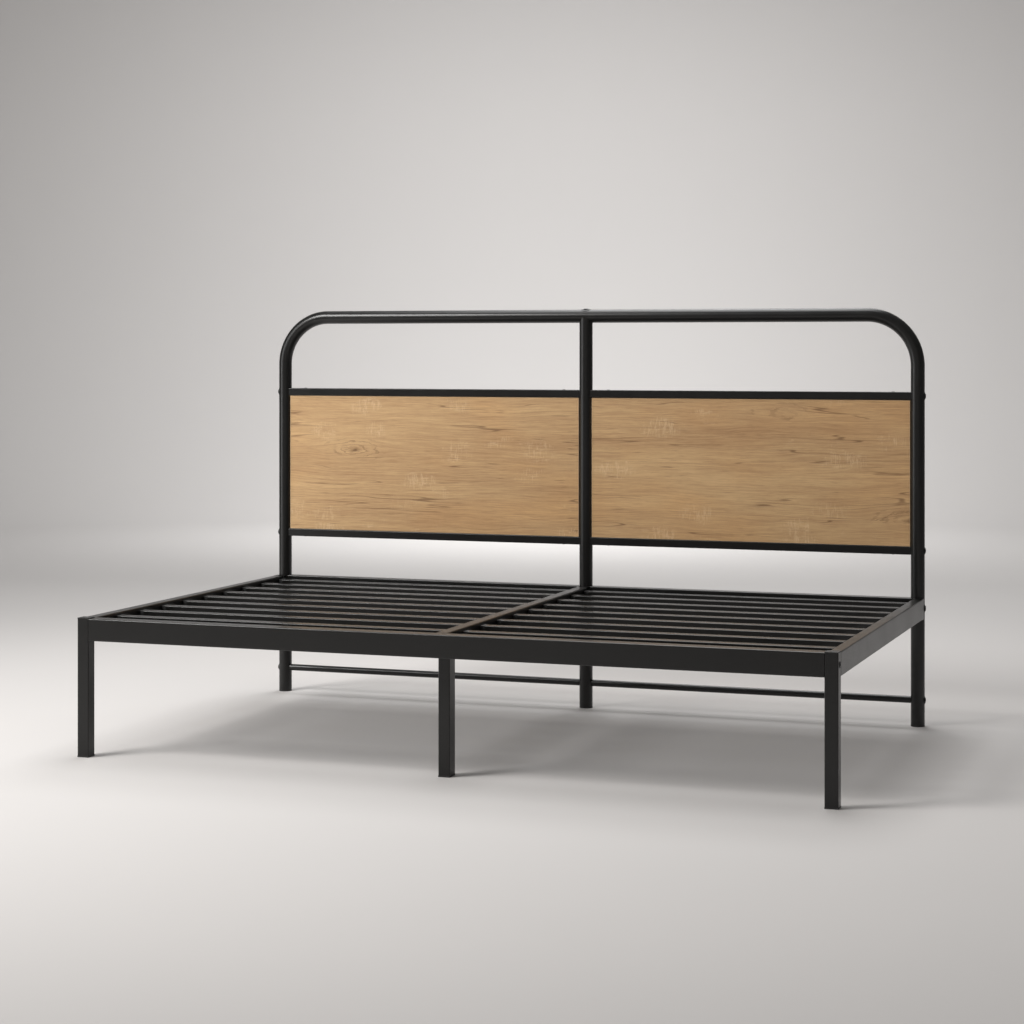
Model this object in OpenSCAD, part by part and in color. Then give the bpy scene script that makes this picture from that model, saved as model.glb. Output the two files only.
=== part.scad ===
// Knock-down platform bed frame: a bent-tube headboard with two wood panels, and a slatted steel
// platform on six legs. X runs along the headboard, +Y points to the headboard and +Z is up.
// The origin is on the floor, under the middle of the whole frame.

/* [Overall] */
// Width over the side rails and the corner posts
bed_w = 1940; // [1500:10:2200]
// Depth from the front of the foot rail to the back of the posts
bed_l = 1200; // [950:10:2150]
// Height of the top tube
bed_h = 1143; // [950:1:1400]
// Height of the top of the rails
platform_h = 350; // [280:1:420]

/* [Headboard] */
// Diameter of the posts and of the top tube
post_d = 38; // [31:1:46]
// Wall of the round tube
post_wall = 1.2; // [1:0.1:2.5]
// Bend radius on the centre line of the top corners
bend_r = 140; // [80:1:200]
// Side of the square bars above and below the panels
bar_s = 22; // [18:1:28]
// Wall of the bars, slats and stretchers
bar_wall = 1; // [0.8:0.1:2]
// Drop from the top of the top tube to the upper bar's middle
upper_bar_drop = 241.6; // [200:0.1:300]
// Rise from the top of the rails to the lower bar's middle
lower_bar_rise = 129; // [60:1:200]
// Thickness of the wood panels
panel_t = 16; // [10:1:18]
// Diameter of the low stretchers
stretcher_d = 19; // [16:1:25]
// Height of the stretchers' middle
stretcher_z = 71.5; // [50:0.5:150]

/* [Rails and legs] */
// Height of the foot, side and head rails
rail_h = 56; // [46:1:70]
// Wall of the rails and front legs
rail_wall = 1.2; // [1:0.1:2.5]
// Width of the side rails
side_rail_w = 28; // [25:1:31]
// Depth of the foot rail
foot_rail_d = 40; // [34:1:50]
// Depth of the head rails
head_rail_d = 28; // [22:1:30]
// Width of the centre rail
centre_rail_w = 30; // [24:1:36]
// Height of the centre rail
centre_rail_h = 50; // [45:1:60]
// Side of the square corner legs
leg_s = 32; // [30:1:40]
// Depth of the front centre leg
centre_leg_d = 38; // [30:1:45]
// Distance of the front centre leg from the foot rail's front
centre_leg_back = 60; // [52:1:70]

/* [Slats] */
// Number of slats in each bank
slat_n = 9; // [5:1:9]
// Width of a slat
slat_w = 30; // [20:1:40]
// Height of a slat
slat_h = 15; // [12:1:18]
// Drop from the top of the rails to the top of the slats
slat_drop = 8.5; // [4:0.5:12]
// Distance of the first slat's middle from the foot rail's front
slat_first = 161; // [155:1:200]
// Distance of the last slat's middle from the back of the posts
slat_last = 73; // [73:1:120]
// Reach of the ledge that a slat's end rests on
ledge_w = 20; // [16:1:26]
// Thickness of the ledge
ledge_t = 2; // [1.5:0.1:3]
// Length of a slat's plastic end block
slat_cap_l = 12; // [11:1:15]

/* [Fasteners] */
// Thread diameter of the frame bolts
bolt_d = 8; // [6:1:10]
// Head diameter of the frame bolts
bolt_head_d = 15; // [14:1:18]
// Head height of the frame bolts
bolt_head_h = 1.8; // [1.6:0.1:4]
// Thread that stands out past a nut
bolt_end = 2; // [1:0.5:4]
// Thread diameter of the bracket bolts
small_d = 6; // [5:1:6]
// Head diameter of the bracket bolts
small_head_d = 11; // [10:1:12]
// Head height of the bracket bolts
small_head_h = 3; // [2:0.1:3.5]
// Shank diameter of the panel screws
screw_d = 4; // [3:0.5:4.5]
// Head diameter of the panel screws
screw_head_d = 9; // [8:0.5:10]
// Thickness of the curved washers
washer_t = 1; // [0.8:0.1:2]
// Diameter of the curved washers
washer_d = 20; // [18:1:24]
// Diameter of the curved washer on the top tube
top_washer_d = 28; // [20:1:32]
// Extra diameter of a clearance hole
hole_clear = 0.5; // [0.3:0.1:1]
// Extra diameter of a threaded hole over its thread
thread_clear = 0.1; // [0.05:0.05:0.2]

/* [Plates and caps] */
// Thickness of the bracket plates
plate_t = 3; // [2.5:0.5:4]
// Height of the corner brackets
corner_plate_h = 40; // [30:1:44]
// Length of a corner bracket's arm
corner_arm = 70; // [66:1:84]
// Room in front of the bolts' ends inside the rail brackets
nut_room = 6; // [2:1:12]
// Least thickness of a bracket's saddle in front of a post
saddle_t = 6; // [5:0.5:8]
// Distance between the two bolts through a saddle
rail_bolt_pitch = 28; // [26:1:32]
// Length of the threaded plugs in the tube ends
plug_l = 24; // [20:1:30]
// Height of the floor caps under the legs
foot_cap_h = 4; // [3:0.5:8]
// Thickness of the caps on top of the corner legs
top_cap_t = 2; // [1.5:0.5:4]
// Depth of a cap's spigot inside its tube
spigot_l = 18; // [10:1:25]
// Length of the reduced tube end that joins the two head tubes
swage_l = 60; // [40:1:90]
// Distance of the head tubes' seam from the middle
seam_off = 10; // [6:1:14]
// Slack round the reduced tube end and beside the panels
fit_gap = 0.2; // [0.1:0.1:1]
// Length of the arms of the angles between the foot rail and the centre rail
centre_arm = 64; // [60:1:68]
// Length of the arms of the angle behind the centre leg
leg_arm = 46; // [44:1:50]

/* [Hidden] */
$fn = 48;
eps = 1;
post_r = post_d / 2;
back_proud = washer_t + bolt_head_h;
y_front = -(bed_l + back_proud) / 2;
y_post = y_front + bed_l - post_r;
x_post = bed_w / 2 - post_r;
x_seam = -seam_off;
top_z = bed_h - post_r;
upper_bar_z = bed_h - upper_bar_drop;
lower_bar_z = platform_h + lower_bar_rise;
bend_z = top_z - bend_r;
rail_z = platform_h - rail_h;
rail_mid_z = platform_h - rail_h / 2;
x_side_in = bed_w / 2 - side_rail_w;
x_leg_in = bed_w / 2 - leg_s;
y_foot_in = y_front + foot_rail_d;
y_saddle = y_post - post_r - saddle_t;
nut_h = bolt_d * 0.8;
y_pocket = y_saddle - nut_h - bolt_end - nut_room - plate_t;
cross_levels = [upper_bar_z, lower_bar_z, rail_mid_z, stretcher_z];
saddle_levels = [rail_mid_z - rail_bolt_pitch / 2, rail_mid_z + rail_bolt_pitch / 2];
bolt_hole = bolt_d + hole_clear;
small_hole = small_d + hole_clear;
bolt_thread = bolt_d + thread_clear;
small_thread = small_d + thread_clear;
bolt_socket = bolt_d * 0.7;
small_socket = small_d * 0.7;
small_nut_h = small_d * 0.8;
nut_af = bolt_d * 1.6;
small_nut_af = small_d * 1.65;
slat_top = platform_h - slat_drop;
slat_z = slat_top - slat_h;
slat_pitch = (bed_l - slat_first - slat_last) / (slat_n - 1);
slat_end_gap = 1;
x_slat_out = x_side_in - slat_end_gap;
x_slat_in = centre_rail_w / 2 + slat_end_gap;
ledge_y = y_front + slat_first - 35;
peg_d = 8;
peg_l = 9;
y_leg_bolt = y_front + leg_s / 2 + 2;
y_centre_leg = y_front + centre_leg_back;
centre_rail_z = platform_h - centre_rail_h;
y_leg_back = y_centre_leg + centre_leg_d;
corner_holes = [corner_arm - 32, corner_arm - 12];
centre_holes = [centre_arm - 32, centre_arm - 12];
leg_holes = [leg_arm - 30, leg_arm - 10];
panel_z = lower_bar_z + bar_s / 2;
panel_h = upper_bar_z - lower_bar_z - bar_s;
panel_x0 = post_r + fit_gap;
panel_x1 = x_post - post_r - fit_gap;
screw_inset = 48;
screw_bite = 20;
boss_d = 16;
sides = [-1, 1];

// ---- shared shapes ----

// A box given by its low and high corners
module box(low, high) {
    translate(low) cube(high - low);
}

// Turns a piece that points up to point along X, towards the sign s
module along_x(s) {
    rotate([0, s * 90, 0]) children();
}

// Turns a piece that points up to point towards +Y
module along_y() {
    rotate([-90, 0, 0]) children();
}

// A round bar along X through the point p, len long to each side
module x_bar(p, d, len) {
    translate(p) rotate([0, 90, 0]) cylinder(d = d, h = 2 * len, center = true);
}

// A round bar along Y through the point p, len long to each side
module y_bar(p, d, len) {
    translate(p) rotate([90, 0, 0]) cylinder(d = d, h = 2 * len, center = true);
}

// A rectangular tube along X, len long, w deep and h high, with its middle at the point p
module x_box_tube(p, len, w, h, wall) {
    translate(p) difference() {
        cube([len, w, h], center = true);
        cube([len + eps, w - 2 * wall, h - 2 * wall], center = true);
    }
}

// A rectangular tube along Y between y0 and y1, w wide and h high
module y_box_tube(y0, y1, x, z, w, h, wall) {
    translate([x, (y0 + y1) / 2, z]) difference() {
        cube([w, y1 - y0, h], center = true);
        cube([w - 2 * wall, y1 - y0 + eps, h - 2 * wall], center = true);
    }
}

// A rectangular tube that stands on its floor cap, from the point x, y to the height z1
module leg_tube(x, y, w, d, z1) {
    difference() {
        box([x - w / 2, y - d / 2, foot_cap_h], [x + w / 2, y + d / 2, z1]);
        translate([x, y, z1 / 2]) cube([w - 2 * rail_wall, d - 2 * rail_wall, z1 + eps], center = true);
    }
}

// Solid cylinders in the place of the corner post and the centre post, which cope a tube's ends
module post_cores(s) {
    for (x = [0, s * x_post]) translate([x, y_post, 0]) cylinder(r = post_r, h = bed_h);
}

// A low domed screw: the head stands above z = 0 and the shank hangs below it
module domed_bolt(d, len, head_d, head_h, socket) {
    rim = head_h * 0.35;
    difference() {
        rotate_extrude() {
            polygon(concat(
                [[0, -len], [d / 2 - 0.5, -len], [d / 2, -len + 0.5], [d / 2, 0], [head_d / 2, 0]],
                [for (a = [0 : 15 : 90]) [
                    head_d / 2 - (1 - cos(a)) * head_d / 4,
                    rim + sin(a) * (head_h - rim)
                ]],
                [[0, head_h]]
            ));
        }
        translate([0, 0, head_h * 0.3]) cylinder(d = socket / cos(30), h = head_h, $fn = 6);
    }
}

// A hexagonal nut that stands on z = 0
module hex_nut(af, h, hole) {
    difference() {
        cylinder(d = af / cos(30), h = h, $fn = 6);
        translate([0, 0, -eps]) cylinder(d = hole, h = h + 2 * eps);
    }
}

// A washer cut from a shell that hugs a round tube; the tube's axis is Y and the washer faces +Z
module curved_washer(d) {
    intersection() {
        difference() {
            rotate([90, 0, 0]) cylinder(r = post_r + washer_t, h = d + 2, center = true);
            rotate([90, 0, 0]) cylinder(r = post_r, h = d + 4, center = true);
            cylinder(d = bolt_hole, h = post_d);
        }
        cylinder(d = d, h = post_d);
    }
}

// ---- headboard ----

// One half of the hoop as a solid rod of radius r, its two ends run over by `over`
module hoop_half(r, over) {
    translate([x_post, y_post, foot_cap_h - over]) cylinder(r = r, h = bend_z - foot_cap_h + over);
    translate([x_post - bend_r, y_post, bend_z])
        rotate([90, 0, 0]) rotate_extrude(angle = 90) translate([bend_r, 0]) circle(r = r);
}

// The straight top run of the hoop, from xa to xb, as a solid rod
module top_run(r, xa, xb) {
    translate([xa, y_post, top_z]) rotate([0, 90, 0]) cylinder(r = r, h = xb - xa);
}

// Holes through a post for the cross members and the saddle bolts
module post_holes(x) {
    for (z = cross_levels) x_bar([x, y_post, z], bolt_hole, post_d);
    for (z = saddle_levels) y_bar([x, y_post, z], bolt_hole, post_d);
}

// The upright hole for the bolt that joins the head tubes to the centre post
module top_bolt_hole() {
    translate([0, y_post, top_z - post_d]) cylinder(d = bolt_hole, h = 2 * post_d);
}

module right_head_tube() {
    color("#1c1c1b") difference() {
        union() {
            hoop_half(post_r, 0);
            top_run(post_r, x_seam, x_post - bend_r);
        }
        hoop_half(post_r - post_wall, eps);
        top_run(post_r - post_wall, x_seam - eps, x_post - bend_r);
        post_holes(x_post);
        top_bolt_hole();
    }
}

// The left tube ends in a reduced spigot that slides into the right tube
module left_head_tube() {
    swage_r = post_r - post_wall - fit_gap / 2;
    color("#1c1c1b") difference() {
        union() {
            mirror([1, 0, 0]) hoop_half(post_r, 0);
            top_run(post_r, -(x_post - bend_r), x_seam);
            top_run(swage_r, x_seam, x_seam + swage_l);
        }
        mirror([1, 0, 0]) hoop_half(post_r - post_wall, eps);
        top_run(post_r - post_wall, -(x_post - bend_r), x_seam - 2 * post_wall);
        top_run(swage_r - post_wall, x_seam - 3 * post_wall, x_seam + swage_l + eps);
        post_holes(-x_post);
        top_bolt_hole();
    }
}

module centre_post() {
    color("#1c1c1b") difference() {
        translate([0, y_post, foot_cap_h]) cylinder(r = post_r, h = top_z - foot_cap_h);
        translate([0, y_post, 0]) cylinder(r = post_r - post_wall, h = bed_h);
        top_run(post_r, -post_d, post_d);
        post_holes(0);
    }
}

// Threaded plug in the top of the centre post
module centre_post_plug() {
    plug_top = top_z - post_r - fit_gap;
    color("#3a3a3a") difference() {
        translate([0, y_post, plug_top - plug_l]) cylinder(r = post_r - post_wall, h = plug_l);
        translate([0, y_post, 0]) cylinder(d = bolt_thread, h = bed_h);
    }
}

// A square bar from the centre post to a corner post, its ends coped to the round posts
module bar(s, z) {
    color("#1c1c1b") difference() {
        x_box_tube([s * x_post / 2, y_post, z], x_post, bar_s, bar_s, bar_wall);
        post_cores(s);
        for (x = [panel_x0 + screw_inset, panel_x1 - screw_inset])
            translate([s * x, y_post, z - bar_s]) cylinder(d = screw_d + hole_clear, h = 2 * bar_s);
    }
}

module panel(s) {
    lo = s > 0 ? panel_x0 : -panel_x1;
    hi = s > 0 ? panel_x1 : -panel_x0;
    color("#b58f68") difference() {
        box([lo, y_post - panel_t / 2, panel_z], [hi, y_post + panel_t / 2, panel_z + panel_h]);
        for (x = [panel_x0 + screw_inset, panel_x1 - screw_inset], z = [panel_z, panel_z + panel_h])
            translate([s * x, y_post, z]) pilot_hole(screw_bite + eps);
    }
}

module head_rail(s) {
    color("#1c1c1b") difference() {
        x_box_tube([s * x_post / 2, y_post, rail_mid_z], x_post, head_rail_d, rail_h, rail_wall);
        post_cores(s);
    }
}

module stretcher(s) {
    color("#1c1c1b") difference() {
        x_bar([s * x_post / 2, y_post, stretcher_z], stretcher_d, x_post / 2);
        x_bar([s * x_post / 2, y_post, stretcher_z], stretcher_d - 2 * bar_wall, x_post / 2 + eps);
        post_cores(s);
    }
}

// ---- platform ----

// A hole for a screw's thread, depth long above and below the face it is drilled in
module pilot_hole(depth) {
    cylinder(d = screw_d + thread_clear, h = 2 * depth, center = true);
}

// A row of holes along an angle's arm: holes lists their distances from the corner p
module hole_row(holes, p, step, dir) {
    for (a = holes)
        translate(p + step * a) rotate(dir) cylinder(d = small_hole, h = 4 * plate_t, center = true);
}

module foot_rail() {
    y_mid = y_front + foot_rail_d / 2;
    color("#1c1c1b") difference() {
        x_box_tube([0, y_mid, rail_mid_z], 2 * x_leg_in, foot_rail_d, rail_h, rail_wall);
        for (s = sides) {
            hole_row(corner_holes, [s * x_side_in, y_foot_in, rail_mid_z], [-s, 0, 0], [90, 0, 0]);
            hole_row(centre_holes, [s * centre_rail_w / 2, y_foot_in, rail_mid_z], [s, 0, 0], [90, 0, 0]);
        }
    }
}

// A ledge of folded plate on the face x of a rail, reaching towards the sign s
module ledge(x, s) {
    reach = x + s * ledge_w;
    fold = x + s * ledge_t;
    difference() {
        union() {
            box([min(x, reach), ledge_y, slat_z - ledge_t], [max(x, reach), y_pocket, slat_z]);
            box([min(x, fold), ledge_y, slat_z - ledge_w], [max(x, fold), y_pocket, slat_z]);
        }
        for (i = [0 : slat_n - 1])
            translate([x + s * (slat_end_gap + slat_cap_l / 2), slat_y(i), slat_z - ledge_w])
                cylinder(d = peg_d + hole_clear, h = ledge_w + eps);
    }
}

module side_rail(s) {
    x_mid = s * (bed_w - side_rail_w) / 2;
    color("#242423") {
        difference() {
            y_box_tube(y_front + leg_s, y_pocket, x_mid, rail_mid_z, side_rail_w, rail_h, rail_wall);
            hole_row(corner_holes, [s * x_side_in, y_foot_in, rail_mid_z], [0, 1, 0], [0, 90, 0]);
        }
        ledge(s * x_side_in, -s);
    }
}

module centre_rail() {
    z_mid = platform_h - centre_rail_h / 2;
    color("#2b2925") {
        difference() {
            y_box_tube(y_foot_in, y_pocket, 0, z_mid, centre_rail_w, centre_rail_h, rail_wall);
            for (a = centre_holes) x_bar([0, y_foot_in + a, rail_mid_z], small_hole, centre_rail_w);
            hole_row(leg_holes, [0, y_leg_back, centre_rail_z], [0, 1, 0], [0, 0, 0]);
        }
        for (s = sides) ledge(s * centre_rail_w / 2, s);
    }
}

module front_leg(s) {
    color("#1c1c1b") difference() {
        leg_tube(s * (bed_w - leg_s) / 2, y_front + leg_s / 2, leg_s, leg_s, platform_h);
        x_bar([s * (bed_w - leg_s) / 2, y_leg_bolt, rail_mid_z], bolt_hole, leg_s);
    }
}

module front_leg_centre() {
    y_mid = y_centre_leg + centre_leg_d / 2;
    color("#1c1c1b") difference() {
        leg_tube(0, y_mid, centre_rail_w, centre_leg_d, centre_rail_z);
        hole_row(leg_holes, [0, y_leg_back, centre_rail_z], [0, 0, -1], [90, 0, 0]);
    }
}

// A bracket between a rail's end and the post behind it: an end plate, cheeks and a coped saddle.
// It reaches from x0 to x1 beside the post's axis, with a cheek at each x in cheeks.
module rail_bracket(x, x0, x1, cheeks) {
    color("#1c1c1b") difference() {
        union() {
            box([x + x0, y_pocket, rail_z], [x + x1, y_pocket + plate_t, platform_h]);
            box([x + x0, y_saddle, rail_z], [x + x1, y_post - head_rail_d / 2, platform_h]);
            for (c = cheeks) box([x + c, y_pocket, rail_z], [x + c + plate_t, y_saddle + eps, platform_h]);
        }
        translate([x, y_post, 0]) cylinder(r = post_r, h = bed_h);
        for (z = saddle_levels) y_bar([x, y_saddle, z], bolt_hole, 2 * saddle_t);
    }
}

module side_rail_bracket(s) {
    inner = post_r - side_rail_w;
    if (s > 0) rail_bracket(x_post, inner, post_r, [post_r - plate_t]);
    else rail_bracket(-x_post, -post_r, -inner, [-post_r]);
}

module centre_rail_bracket() {
    half = centre_rail_w / 2;
    rail_bracket(0, -half, half, [-half, half - plate_t]);
}

// An upright angle in the corner between the foot rail's back and a rail's face at x. One arm runs
// along the foot rail towards the sign s, and the other along the rail's face.
module rail_angle(x, s, arm, holes) {
    mirror([s > 0 ? 0 : 1, 0, 0]) translate([s * x, y_foot_in, rail_mid_z]) difference() {
        union() {
            box([0, 0, -corner_plate_h / 2], [arm, plate_t, corner_plate_h / 2]);
            box([0, 0, -corner_plate_h / 2], [plate_t, arm, corner_plate_h / 2]);
        }
        hole_row(holes, [0, 0, 0], [1, 0, 0], [90, 0, 0]);
        hole_row(holes, [0, 0, 0], [0, 1, 0], [0, 90, 0]);
    }
}

module corner_bracket(s) {
    color("#1c1c1b") rail_angle(s * x_side_in, -s, corner_arm, corner_holes);
}

module centre_rail_angles() {
    color("#1c1c1b") for (s = sides) rail_angle(s * centre_rail_w / 2, s, centre_arm, centre_holes);
}

// An angle behind the centre leg, under the centre rail
module centre_leg_angle() {
    half = centre_rail_w / 2 - 2;
    color("#1c1c1b") translate([0, y_leg_back, centre_rail_z]) difference() {
        union() {
            box([-half, 0, -leg_arm], [half, plate_t, 0]);
            box([-half, 0, -plate_t], [half, leg_arm, 0]);
        }
        hole_row(leg_holes, [0, 0, 0], [0, 0, -1], [90, 0, 0]);
        hole_row(leg_holes, [0, 0, 0], [0, 1, 0], [0, 0, 0]);
    }
}

// ---- slats ----

// The place of a slat's middle along the bed, counted from the foot end
function slat_y(i) = y_front + slat_first + i * slat_pitch;

module slat(s, i) {
    mid = [s * (x_slat_in + x_slat_out) / 2, slat_y(i), slat_z + slat_h / 2];
    color("#1c1c1b") x_box_tube(mid, x_slat_out - x_slat_in - 2 * slat_cap_l, slat_w, slat_h, bar_wall);
}

// An end block with a spigot inside the slat and a peg that drops through the ledge; it points along +X
module slat_cap() {
    inner_w = slat_w - 2 * bar_wall;
    inner_h = slat_h - 2 * bar_wall;
    translate([0, -slat_w / 2, 0]) cube([slat_cap_l, slat_w, slat_h]);
    translate([slat_cap_l, -inner_w / 2, bar_wall]) cube([slat_cap_l, inner_w, inner_h]);
    translate([slat_cap_l / 2, 0, -peg_l]) cylinder(d = peg_d, h = peg_l + eps);
}

module slat_end_caps() {
    color("#151515") for (s = sides, i = [0 : slat_n - 1]) {
        translate([s * x_slat_in, slat_y(i), slat_z]) rotate([0, 0, s > 0 ? 0 : 180]) slat_cap();
        translate([s * x_slat_out, slat_y(i), slat_z]) rotate([0, 0, s > 0 ? 180 : 0]) slat_cap();
    }
}

// ---- caps ----

module post_foot_caps() {
    color("#151515") for (x = [-x_post, 0, x_post]) translate([x, y_post, 0]) {
        cylinder(r = post_r, h = foot_cap_h);
        cylinder(r = post_r - post_wall, h = foot_cap_h + spigot_l);
    }
}

// A flat cap with a spigot, for a rectangular leg; it points up into the leg
module leg_cap(w, d, t) {
    translate([-w / 2, -d / 2, 0]) cube([w, d, t]);
    translate([rail_wall - w / 2, rail_wall - d / 2, 0])
        cube([w - 2 * rail_wall, d - 2 * rail_wall, t + spigot_l]);
}

module leg_foot_caps() {
    color("#151515") {
        for (s = sides)
            translate([s * (bed_w - leg_s) / 2, y_front + leg_s / 2, 0]) leg_cap(leg_s, leg_s, foot_cap_h);
        translate([0, y_centre_leg + centre_leg_d / 2, 0]) leg_cap(centre_rail_w, centre_leg_d, foot_cap_h);
    }
}

// The top caps' spigots stop above the bolt that crosses the leg
module leg_top_caps() {
    color("#151515") for (s = sides)
        translate([s * (bed_w - leg_s) / 2, y_front + leg_s / 2, platform_h + top_cap_t])
            mirror([0, 0, 1]) leg_cap(leg_s, leg_s, top_cap_t);
}

// ---- threaded plugs and fasteners ----

// Threaded plugs in both ends of the square bars and the stretchers
module bar_plugs() {
    reach = post_r + plug_l / 2;
    inner = bar_s - 2 * bar_wall;
    color("#3a3a3a") for (s = sides, x = [reach, x_post - reach]) {
        for (z = [upper_bar_z, lower_bar_z]) difference() {
            translate([s * x, y_post, z]) cube([plug_l, inner, inner], center = true);
            x_bar([s * x, y_post, z], bolt_thread, plug_l);
        }
        difference() {
            x_bar([s * x, y_post, stretcher_z], stretcher_d - 2 * bar_wall, plug_l / 2);
            x_bar([s * x, y_post, stretcher_z], bolt_thread, plug_l);
        }
    }
}

// A plate that fills a rail's end from x inwards, with a threaded boss behind it at y_hole
module rail_plug(x, dir, y_mid, y_hole, depth) {
    translate([x, 0, rail_mid_z]) difference() {
        union() {
            translate([dir * plate_t / 2, y_mid, 0])
                cube([plate_t, depth - 2 * rail_wall, rail_h - 2 * rail_wall], center = true);
            x_bar([dir * plug_l / 2, y_hole, 0], boss_d, plug_l / 2);
        }
        x_bar([0, y_hole, 0], bolt_thread, 2 * plug_l);
    }
}

// Threaded plugs in the ends of the head rails and the foot rail
module rail_plugs() {
    color("#3a3a3a") for (s = sides) {
        rail_plug(s * post_r, s, y_post, y_post, head_rail_d);
        rail_plug(s * (x_post - post_r), -s, y_post, y_post, head_rail_d);
        rail_plug(s * x_leg_in, -s, y_front + foot_rail_d / 2, y_leg_bolt, foot_rail_d);
    }
}

module frame_bolt(len) {
    domed_bolt(bolt_d, len, bolt_head_d, bolt_head_h, bolt_socket);
}

module frame_bolts() {
    under_head = post_r + washer_t;
    cross_len = under_head + post_r + plug_l;
    color("#1a1a1a") {
        for (s = sides, z = cross_levels)
            translate([s * (x_post + under_head), y_post, z]) along_x(s) frame_bolt(cross_len);
        for (s = sides)
            translate([s * bed_w / 2, y_leg_bolt, rail_mid_z]) along_x(s) frame_bolt(leg_s + plug_l);
        for (x = [-x_post, 0, x_post], z = saddle_levels)
            translate([x, y_post + under_head, z]) along_y()
                frame_bolt(under_head + post_r + saddle_t + nut_h + bolt_end);
        translate([0, y_post, top_z + under_head]) frame_bolt(under_head + post_r + plug_l);
    }
}

module saddle_nuts() {
    color("#1a1a1a") for (x = [-x_post, 0, x_post], z = saddle_levels)
        translate([x, y_saddle - nut_h, z]) along_y() hex_nut(nut_af, nut_h, bolt_thread);
}

module curved_washers() {
    color("#1a1a1a") {
        for (s = sides, z = cross_levels)
            translate([s * x_post, y_post, z]) rotate([90, 0, 0]) along_x(s) curved_washer(washer_d);
        for (x = [-x_post, 0, x_post], z = saddle_levels)
            translate([x, y_post, z]) along_y() curved_washer(washer_d);
        translate([0, y_post, top_z]) rotate([0, 0, 90]) curved_washer(top_washer_d);
    }
}

// Studs through the centre post that draw the bars, rails and stretchers of both sides together
module centre_studs() {
    color("#1a1a1a") for (z = cross_levels) x_bar([0, y_post, z], bolt_d, post_r + plug_l - 2);
}

module bracket_bolt(len) {
    domed_bolt(small_d, len, small_head_d, small_head_h, small_socket);
}

// Bolts of all the angles. Two of them go right through the centre rail and both its angles.
module bracket_bolts() {
    len = plate_t + rail_wall + small_nut_h + bolt_end;
    through = centre_rail_w + 2 * plate_t + small_nut_h + bolt_end;
    color("#1a1a1a") {
        for (s = sides, a = corner_holes) {
            translate([s * (x_side_in - a), y_foot_in + plate_t, rail_mid_z]) along_y() bracket_bolt(len);
            translate([s * (x_side_in - plate_t), y_foot_in + a, rail_mid_z]) along_x(-s) bracket_bolt(len);
        }
        for (s = sides, a = centre_holes)
            translate([s * (centre_rail_w / 2 + a), y_foot_in + plate_t, rail_mid_z])
                along_y() bracket_bolt(len);
        for (a = centre_holes)
            translate([-centre_rail_w / 2 - plate_t, y_foot_in + a, rail_mid_z])
                along_x(-1) bracket_bolt(through);
        for (a = leg_holes) {
            translate([0, y_leg_back + plate_t, centre_rail_z - a]) along_y() bracket_bolt(len);
            translate([0, y_leg_back + a, centre_rail_z - plate_t]) rotate([180, 0, 0]) bracket_bolt(len);
        }
    }
}

module bracket_nut() {
    hex_nut(small_nut_af, small_nut_h, small_thread);
}

module bracket_nuts() {
    inset = rail_wall + small_nut_h;
    color("#1a1a1a") {
        for (s = sides, a = corner_holes) {
            translate([s * (x_side_in - a), y_foot_in - inset, rail_mid_z]) along_y() bracket_nut();
            translate([s * (x_side_in + inset), y_foot_in + a, rail_mid_z]) along_x(-s) bracket_nut();
        }
        for (s = sides, a = centre_holes)
            translate([s * (centre_rail_w / 2 + a), y_foot_in - inset, rail_mid_z]) along_y() bracket_nut();
        for (a = centre_holes)
            translate([centre_rail_w / 2 + plate_t, y_foot_in + a, rail_mid_z]) along_x(1) bracket_nut();
        for (a = leg_holes) {
            translate([0, y_leg_back - inset, centre_rail_z - a]) along_y() bracket_nut();
            translate([0, y_leg_back + a, centre_rail_z + rail_wall]) bracket_nut();
        }
    }
}

// Screws through the bars into the panels' edges
module panel_screws() {
    head_h = screw_d * 0.3;
    len = bar_s + screw_bite;
    color("#1a1a1a") {
        for (s = sides, x = [panel_x0 + screw_inset, panel_x1 - screw_inset]) {
            translate([s * x, y_post, upper_bar_z + bar_s / 2])
                domed_bolt(screw_d, len, screw_head_d, head_h, screw_d / 2);
            translate([s * x, y_post, lower_bar_z - bar_s / 2])
                rotate([180, 0, 0]) domed_bolt(screw_d, len, screw_head_d, head_h, screw_d / 2);
        }
    }
}

// ---- what is drawn ----

left_head_tube();
right_head_tube();
centre_post();
centre_post_plug();
bar(-1, upper_bar_z);  // upper_bar_left
bar(1, upper_bar_z);  // upper_bar_right
bar(-1, lower_bar_z);  // lower_bar_left
bar(1, lower_bar_z);  // lower_bar_right
panel(-1);  // panel_left
panel(1);  // panel_right
head_rail(-1);  // head_rail_left
head_rail(1);  // head_rail_right
stretcher(-1);  // stretcher_left
stretcher(1);  // stretcher_right
foot_rail();
side_rail(-1);  // side_rail_left
side_rail(1);  // side_rail_right
centre_rail();
front_leg(-1);  // front_leg_left
front_leg(1);  // front_leg_right
front_leg_centre();
side_rail_bracket(-1);  // rail_bracket_left
side_rail_bracket(1);  // rail_bracket_right
centre_rail_bracket();  // rail_bracket_centre
corner_bracket(-1);  // corner_bracket_left
corner_bracket(1);  // corner_bracket_right
centre_leg_angle();
centre_rail_angles();
for (i = [0 : slat_n - 1]) {
    slat(-1, i);
    slat(1, i);
}
slat_end_caps();
post_foot_caps();
leg_foot_caps();
leg_top_caps();
bar_plugs();
rail_plugs();
frame_bolts();
saddle_nuts();
curved_washers();
centre_studs();
bracket_bolts();
bracket_nuts();
panel_screws();
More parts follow.
